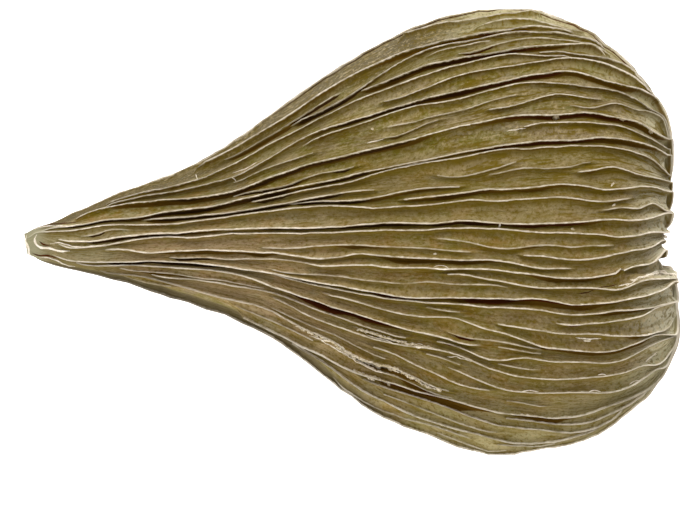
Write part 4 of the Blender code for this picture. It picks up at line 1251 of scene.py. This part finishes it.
# Loose threads of torn skin that lie on the face: half thickness, how much they wander, and their points.
FINE = 0.06
PLAIN = 0.085
STOUT = 0.13
PALE_THREADS = (
    # the folded rim of the beak
    (STOUT, 0.0, (1.6, 1.0), (1.35, 0.5), (1.5, -0.1), (2.0, -0.5), (3.0, -0.6), (4.3, -0.95),
     (5.6, -0.95)),
    (STOUT, 0.0, (0.35, 0.9), (0.25, 0.2), (0.6, -0.6), (0.75, -1.4), (1.2, -1.7)),
    (PLAIN, 0.05, (1.9, -1.75), (3.2, -1.8), (4.2, -2.15), (4.9, -2.55), (6.2, -2.75)),
    (PLAIN, 0.05, (1.2, 1.6), (2.2, 1.95), (4.0, 2.0), (5.6, 2.0), (7.0, 2.3)),
    (FINE, 0.05, (3.2, -0.1), (4.2, 0.05), (5.4, -0.25), (6.4, -0.45), (8.0, -0.4), (10.0, -0.35)),
    # fibres that stand off the ribs
    (FINE, 0.0, (20.65, 8.2), (20.75, 7.9), (20.9, 7.5)),
    (FINE, 0.0, (24.9, 7.85), (25.3, 7.6), (25.55, 7.25)),
    (STOUT, 0.0, (56.75, 2.3), (56.7, 2.05), (56.6, 1.8)),
    # eyes where an edge splits and joins again
    (FINE, 0.02, (48.9, -2.85), (49.4, -2.7), (50.1, -2.7), (50.75, -3.05)),
    (FINE, 0.02, (48.9, -2.95), (49.5, -3.1), (50.1, -3.15), (50.7, -3.1)),
    (FINE, 0.02, (46.7, -12.1), (47.2, -11.9), (47.8, -12.15)),
    (FINE, 0.02, (46.7, -12.2), (47.2, -12.4), (47.8, -12.2)),
    (FINE, 0.02, (68.3, -15.65), (68.8, -15.5), (69.3, -15.6)),
    (FINE, 0.03, (59.2, -17.6), (60.3, -17.45), (61.4, -17.6)),
    (FINE, 0.03, (67.3, -17.6), (68.0, -17.45), (68.7, -17.6)),
    (FINE, 0.03, (72.1, -16.75), (72.8, -16.35), (73.4, -16.3)),
    (FINE, 0.03, (25.0, 8.3), (27.0, 9.0), (28.0, 9.6)),
    (FINE, 0.04, (41.05, 11.8), (42.3, 12.1), (43.15, 12.35)),
    (FINE, 0.04, (57.5, 13.2), (58.6, 13.35), (59.8, 13.55)),
    (PLAIN, 0.05, (65.65, -11.2), (66.8, -11.3), (68.7, -11.25)),
    (FINE, 0.05, (66.6, -11.5), (67.1, -11.6), (67.5, -11.55)),
    (PLAIN, 0.03, (74.05, -14.1), (74.6, -13.55), (75.4, -12.9)),
    # the torn upper rim of the lower lobe, beside the notch
    (STOUT, 0.12, (72.6, -4.25), (74.1, -3.9), (75.5, -3.6), (76.6, -3.6), (77.5, -3.85), (78.0, -4.3)),
    (PLAIN, 0.12, (73.6, -4.15), (74.6, -3.6), (75.8, -3.35), (77.0, -3.7), (77.7, -4.2)),
    (FINE, 0.08, (70.6, -5.1), (71.5, -4.95), (72.3, -4.7), (73.0, -4.4)),
    # edges of the lower left that have split in two
    (PLAIN, 0.1, (34.2, -10.95), (36.0, -11.75), (38.0, -12.9), (39.3, -13.7)),
    (FINE, 0.1, (41.0, -10.9), (42.4, -11.3), (43.8, -11.7), (44.9, -12.05)),
    (PLAIN, 0.1, (38.9, -13.5), (40.2, -14.3), (41.6, -14.9), (43.4, -15.5)),
    (FINE, 0.1, (50.5, -13.55), (51.6, -13.5), (52.6, -13.75), (53.6, -14.1)),
)
# Dark threads that stand in for the shade in cracks and folds: half thickness, how much they wander, and
# their points.
CRACK_SHADE_THREADS = (
    (FINE, 0.05, (66.0, -6.0), (67.3, -5.75), (68.0, -5.5)),
    (FINE, 0.05, (68.2, -5.3), (69.65, -5.1), (70.6, -4.85)),
    (FINE, 0.02, (1.2, 1.75), (3.0, 2.2), (5.0, 2.35), (7.0, 2.55)),
    (PLAIN, 0.02, (1.9, 0.2), (2.4, -0.15), (3.2, -0.3)),
    (PLAIN, 0.02, (1.0, -1.2), (1.8, -1.45), (3.0, -1.5), (4.2, -1.85)),
)
# Small torn scraps and knots: middle, half length, half width and turn in degrees.
SCRAPS = (
    (63.3, 14.75, 0.55, 0.26, 10),
    (71.2, 14.6, 0.4, 0.18, -15),
    (41.7, 13.5, 0.22, 0.2, 0),
    (49.05, -1.3, 0.2, 0.16, 0),
    (70.0, 6.9, 0.35, 0.14, 50),
    (70.2, 4.5, 0.3, 0.14, 35),
    (71.3, 14.5, 0.2, 0.14, 0),
    (65.3, 1.6, 0.3, 0.16, -30),
    (71.8, -4.9, 0.25, 0.16, 20),
    (74.2, -3.85, 0.5, 0.22, 8),
    (76.2, -3.55, 0.45, 0.2, -5),
    (67.1, -11.5, 0.5, 0.12, 0),
    (42.4, -14.7, 0.4, 0.2, -25),
    (43.8, -15.0, 0.35, 0.18, -35),
    (37.6, -12.5, 0.3, 0.14, -35),
    (41.6, -16.2, 0.45, 0.2, -20),
    (74.6, 13.1, 0.3, 0.2, -40),
)
# Rib edges worn to a ruffle of small flakes: half width of the ruffle and its points.
RUFFLES = (
    (0.14, (32.8, -10.0), (33.9, -10.55), (35.4, -11.2), (36.9, -11.8), (38.2, -12.7), (39.4, -13.4)),
    (0.24, (37.6, -12.5), (39.1, -13.3), (40.6, -14.0), (42.3, -14.6), (43.6, -14.7), (44.8, -15.1)),
    (0.16, (44.6, -15.0), (45.4, -15.5), (46.9, -16.3), (48.4, -17.0), (49.6, -17.5)),
    (0.18, (40.2, -10.2), (41.8, -10.75), (43.4, -11.2), (45.0, -11.75), (46.4, -12.0), (48.8, -12.4)),
    (0.16, (39.6, -15.1), (41.0, -15.7), (42.4, -16.1), (43.8, -16.7)),
    (0.12, (72.4, -4.35), (73.8, -4.0), (75.2, -3.7), (76.4, -3.65), (77.3, -3.9)),
)

# How the flakes of a ruffle lie: spacing, wander and turn in degrees, then their sizes.
RUFFLE_SPACING = 0.3
RUFFLE_WANDER = 0.1
RUFFLE_TURN = 35.0
FLAKE_LENGTH = 0.32
FLAKE_LENGTHS = (0.6, 1.4)
FLAKE_WIDTHS = (0.5, 1.3)

THREAD_SIDES = 6
THREAD_STEP = 0.14
THREAD_LIFT = 0.35
THREAD_TAPER = 6.0
THREAD_TIP = 0.25
THREAD_UNEVEN = 0.35
THREAD_UNEVEN_PACE = 3.0
THREAD_SEED = 21
WANDER_WAVELENGTH = 0.55

SCRAP_POINTS = 11
SCRAP_RAGGED = 0.28
SCRAP_LIFT = 0.05
SCRAP_CROWN = 1.3
SCRAP_SHOULDER = 0.7


def face_finder(data):
    """A function that gives the height of the husk's face over a place on it."""
    corners = [tuple(vertex.co) for vertex in data.vertices]
    tree = BVHTree.FromPolygons(corners, [tuple(face.vertices) for face in data.polygons])

    def height_at(x, y):
        start = Vector(((x - MIDDLE_X) * MM, (y - MIDDLE_Y) * MM, 0.1))
        hit, _, _, _ = tree.ray_cast(start, Vector((0.0, 0.0, -1.0)))
        return None if hit is None else hit.z / MM

    return height_at


def thread_path(chance, wander, points):
    """Evenly spaced places along a thread, which wander to both sides."""
    points = np.array(points, float)
    lengths = np.concatenate([[0.0], np.cumsum(np.linalg.norm(np.diff(points, axis=0), axis=1))])
    at = np.linspace(0.0, lengths[-1], max(3, int(lengths[-1] / THREAD_STEP)))
    x, y = (smooth_curve(lengths, points[:, axis], at) for axis in (0, 1))
    direction = np.stack([np.gradient(x), np.gradient(y)], axis=1)
    direction /= np.linalg.norm(direction, axis=1, keepdims=True)
    side = wander * slow_noise(chance, at[:, None], WANDER_WAVELENGTH, 1)[:, 0]
    return x - side * direction[:, 1], y + side * direction[:, 0], direction


def thread_rings(chance, height_at, thread):
    """The rings of a tube that lies along the face, thinner towards both ends."""
    radius, wander, *points = thread
    x, y, direction = thread_path(chance, wander, points)
    count = len(x)
    share = np.linspace(0.0, 1.0, count)
    taper = np.clip(np.minimum(share, 1.0 - share) * THREAD_TAPER, THREAD_TIP, 1.0)
    along = THREAD_UNEVEN_PACE * share[:, None] * count * THREAD_STEP
    uneven = 1.0 + THREAD_UNEVEN * slow_noise(chance, along, 1.0, 1)[:, 0]
    turn = np.linspace(0.0, 2 * math.pi, THREAD_SIDES, endpoint=False)
    rings = []
    for step in range(count):
        level = height_at(x[step], y[step])
        if level is None:
            continue
        thick = radius * taper[step] * uneven[step]
        side = thick * np.cos(turn)
        rings.append(np.stack([x[step] - side * direction[step, 1] - MIDDLE_X,
                               y[step] + side * direction[step, 0] - MIDDLE_Y,
                               level + THREAD_LIFT * radius + thick * np.sin(turn)], axis=1))
    return rings


def add_tube(spots, faces, rings):
    """Join the rings of one tube to the lists of points and faces, closed at both ends."""
    first = len(spots)
    for ring in rings:
        spots.extend(ring.tolist())
    for step in range(len(rings) - 1):
        for side in range(THREAD_SIDES):
            after = (side + 1) % THREAD_SIDES
            low = first + step * THREAD_SIDES
            faces.append([low + side, low + after, low + THREAD_SIDES + after, low + THREAD_SIDES + side])
    last = first + (len(rings) - 1) * THREAD_SIDES
    faces.append([first + side for side in reversed(range(THREAD_SIDES))])
    faces.append([last + side for side in range(THREAD_SIDES)])


def add_scrap(chance, height_at, spots, faces, scrap):
    """A ragged crumb of skin with a raised middle, whose rim sinks into the face."""
    x, y, half_length, half_width, degrees = scrap
    turn = np.linspace(0.0, 2 * math.pi, SCRAP_POINTS, endpoint=False)
    reach = 1.0 + SCRAP_RAGGED * chance.uniform(-1.0, 1.0, SCRAP_POINTS)
    angle = math.radians(degrees)
    first = len(spots)
    for share, lift in ((1.0, -SCRAP_LIFT), (SCRAP_SHOULDER, SCRAP_LIFT)):
        for step in range(SCRAP_POINTS):
            along = half_length * reach[step] * share * math.cos(turn[step])
            across = half_width * reach[step] * share * math.sin(turn[step])
            px = x + along * math.cos(angle) - across * math.sin(angle)
            py = y + along * math.sin(angle) + across * math.cos(angle)
            level = height_at(px, py) or height_at(x, y)
            spots.append([px - MIDDLE_X, py - MIDDLE_Y, level + lift])
    spots.append([x - MIDDLE_X, y - MIDDLE_Y, height_at(x, y) + SCRAP_CROWN * SCRAP_LIFT])
    shoulder = first + SCRAP_POINTS
    top = shoulder + SCRAP_POINTS
    for step in range(SCRAP_POINTS):
        after = (step + 1) % SCRAP_POINTS
        faces.append([first + step, first + after, shoulder + after, shoulder + step])
        faces.append([shoulder + step, shoulder + after, top])
    faces.append([first + step for step in reversed(range(SCRAP_POINTS))])


def ruffle_flakes(chance, ruffle):
    """The flakes of one ruffled edge, as scraps strewn along it."""
    half_width, *points = ruffle
    x, y, direction = thread_path(chance, RUFFLE_WANDER, points)
    flakes = []
    for step in range(0, len(x), max(1, round(RUFFLE_SPACING / THREAD_STEP))):
        along = math.degrees(math.atan2(direction[step, 1], direction[step, 0]))
        half_length = FLAKE_LENGTH * chance.uniform(*FLAKE_LENGTHS)
        flake_width = half_width * chance.uniform(*FLAKE_WIDTHS)
        turn = along + RUFFLE_TURN * chance.uniform(-1, 1)
        flakes.append((x[step], y[step], half_length, flake_width, turn))
    return flakes


def make_piece(name, spots, faces, material):
    """A piece of loose skin, kept inside the pod's own box."""
    data = bpy.data.meshes.new(name)
    low, high = np.array(box_low), np.array(box_high)
    data.from_pydata(np.clip(np.array(spots) * MM, low, high).tolist(), [], faces)
    data.shade_smooth()
    data.materials.append(material)
    piece = bpy.data.objects.new(name, data)
    bpy.context.scene.collection.objects.link(piece)
    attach(piece, "root")
    return piece


def make_loose_bits(husk):
    """Threads and scraps of torn skin, and dark threads that are painted shade at cracks and folds, all
    lying on the upper face.
    """
    height_at = face_finder(husk.data)
    chance = np.random.default_rng(THREAD_SEED)
    for name, threads, material in (
            ("pale_torn_threads", PALE_THREADS, fibre_paint("pale_fibre", PALE_EDGE, LIT_EDGE, 0.5)),
            # Painted shade: dark threads laid along cracks and folds.
            ("crack_shade_threads", CRACK_SHADE_THREADS, fibre_paint("crack_shade_fibre", SHADE_DARK_SLIT, SHADE_RED_SLIT, 0.0))):
        spots, faces = [], []
        for thread in threads:
            rings = thread_rings(chance, height_at, thread)
            if len(rings) > 2:
                add_tube(spots, faces, rings)
        make_piece(name, spots, faces, material)
    spots, faces = [], []
    for scrap in SCRAPS:
        add_scrap(chance, height_at, spots, faces, scrap)
    for ruffle in RUFFLES:
        for flake in ruffle_flakes(chance, ruffle):
            add_scrap(chance, height_at, spots, faces, flake)
    make_piece("torn_scraps", spots, faces, fibre_paint("pale_scrap", TAN, PALE_EDGE, 0.6))


def make_husk():
    """The ribbed husk, which stands in for the plain solid of the pod."""
    husk = bpy.data.objects.new("ribbed_husk", husk_mesh())
    husk.data.materials.append(husk_paint())
    bpy.context.scene.collection.objects.link(husk)
    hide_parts("pod")
    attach(husk, "root")
    return husk


# The framing of the picture, in pixels, with the tip of the beak and the scale; the rest in millimetres.
PHOTO_WIDTH = 700.0
PHOTO_HEIGHT = 508.0
PIXELS_PER_MM = 8.4
TIP_PIXEL = (22.0, 243.0)
OUTLINE_LEVEL = 19.0
CAMERA_DISTANCE = 2000.0
SENSOR = 36.0

# Soft lights: place and size in metres, and power.
LAMPS = (
    ("north_light", (0.05, 0.55, 0.55), 6.1, 0.5),
    ("top_light", (0.0, 0.0, 0.9), 2.1, 0.8),
    ("south_fill", (-0.1, -0.6, 0.35), 4.4, 0.6),
)
WORLD_GLOW = 0.33


def aim_camera():
    """Look straight down, framed as the pod lies in a picture of that size and scale."""
    data = bpy.data.cameras.new("camera")
    camera = bpy.data.objects.new("camera", data)
    bpy.context.scene.collection.objects.link(camera)
    middle_x = (0.5 * PHOTO_WIDTH - TIP_PIXEL[0]) / PIXELS_PER_MM - MIDDLE_X
    middle_y = (TIP_PIXEL[1] - 0.5 * PHOTO_HEIGHT) / PIXELS_PER_MM - MIDDLE_Y
    camera.location = Vector((middle_x, middle_y, OUTLINE_LEVEL + CAMERA_DISTANCE)) * MM
    data.sensor_width = SENSOR
    data.lens = SENSOR * CAMERA_DISTANCE / (PHOTO_WIDTH / PIXELS_PER_MM)
    bpy.context.scene.camera = camera


def add_light(name, place, power, size):
    """A square soft light that faces the pod."""
    data = bpy.data.lights.new(name, "AREA")
    data.energy = power
    data.size = size
    lamp = bpy.data.objects.new(name, data)
    bpy.context.scene.collection.objects.link(lamp)
    lamp.location = place
    lamp.rotation_euler = (-Vector(place)).to_track_quat("-Z", "Y").to_euler()


# The floor, in metres.
FLOOR_WHITE = (0.93, 0.93, 0.93, 1.0)
FLOOR_ROUGHNESS = 0.9
FLOOR_GLOW = 0.75
FLOOR_SIDE = 3.0
FLOOR_DROP = 0.0002


def make_floor():
    """A plain pale floor that glows a little, so that it stays white."""
    data = bpy.data.meshes.new("floor")
    half = FLOOR_SIDE / 2
    corners = [(-half, -half, 0), (half, -half, 0), (half, half, 0), (-half, half, 0)]
    data.from_pydata(corners, [], [(0, 1, 2, 3)])
    floor = bpy.data.objects.new("floor", data)
    floor.location.z = -FLOOR_DROP
    paint = Paint("white_floor")
    paint.shader.inputs["Base Color"].default_value = FLOOR_WHITE
    paint.shader.inputs["Roughness"].default_value = FLOOR_ROUGHNESS
    paint.shader.inputs["Emission Color"].default_value = (1.0, 1.0, 1.0, 1.0)
    paint.shader.inputs["Emission Strength"].default_value = FLOOR_GLOW
    data.materials.append(paint.material)
    bpy.context.scene.collection.objects.link(floor)


def light_studio():
    """Light from the north, over the pod, a softer one from the south, and a pale sky."""
    for lamp in LAMPS:
        add_light(*lamp)
    world = bpy.data.worlds.new("studio")
    world.use_nodes = True
    sky = world.node_tree.nodes["Background"]
    sky.inputs["Color"].default_value = (1.0, 1.0, 1.0, 1.0)
    sky.inputs["Strength"].default_value = WORLD_GLOW
    bpy.context.scene.world = world
    bpy.context.scene.view_settings.view_transform = "Standard"


make_loose_bits(make_husk())
make_floor()
light_studio()
aim_camera()
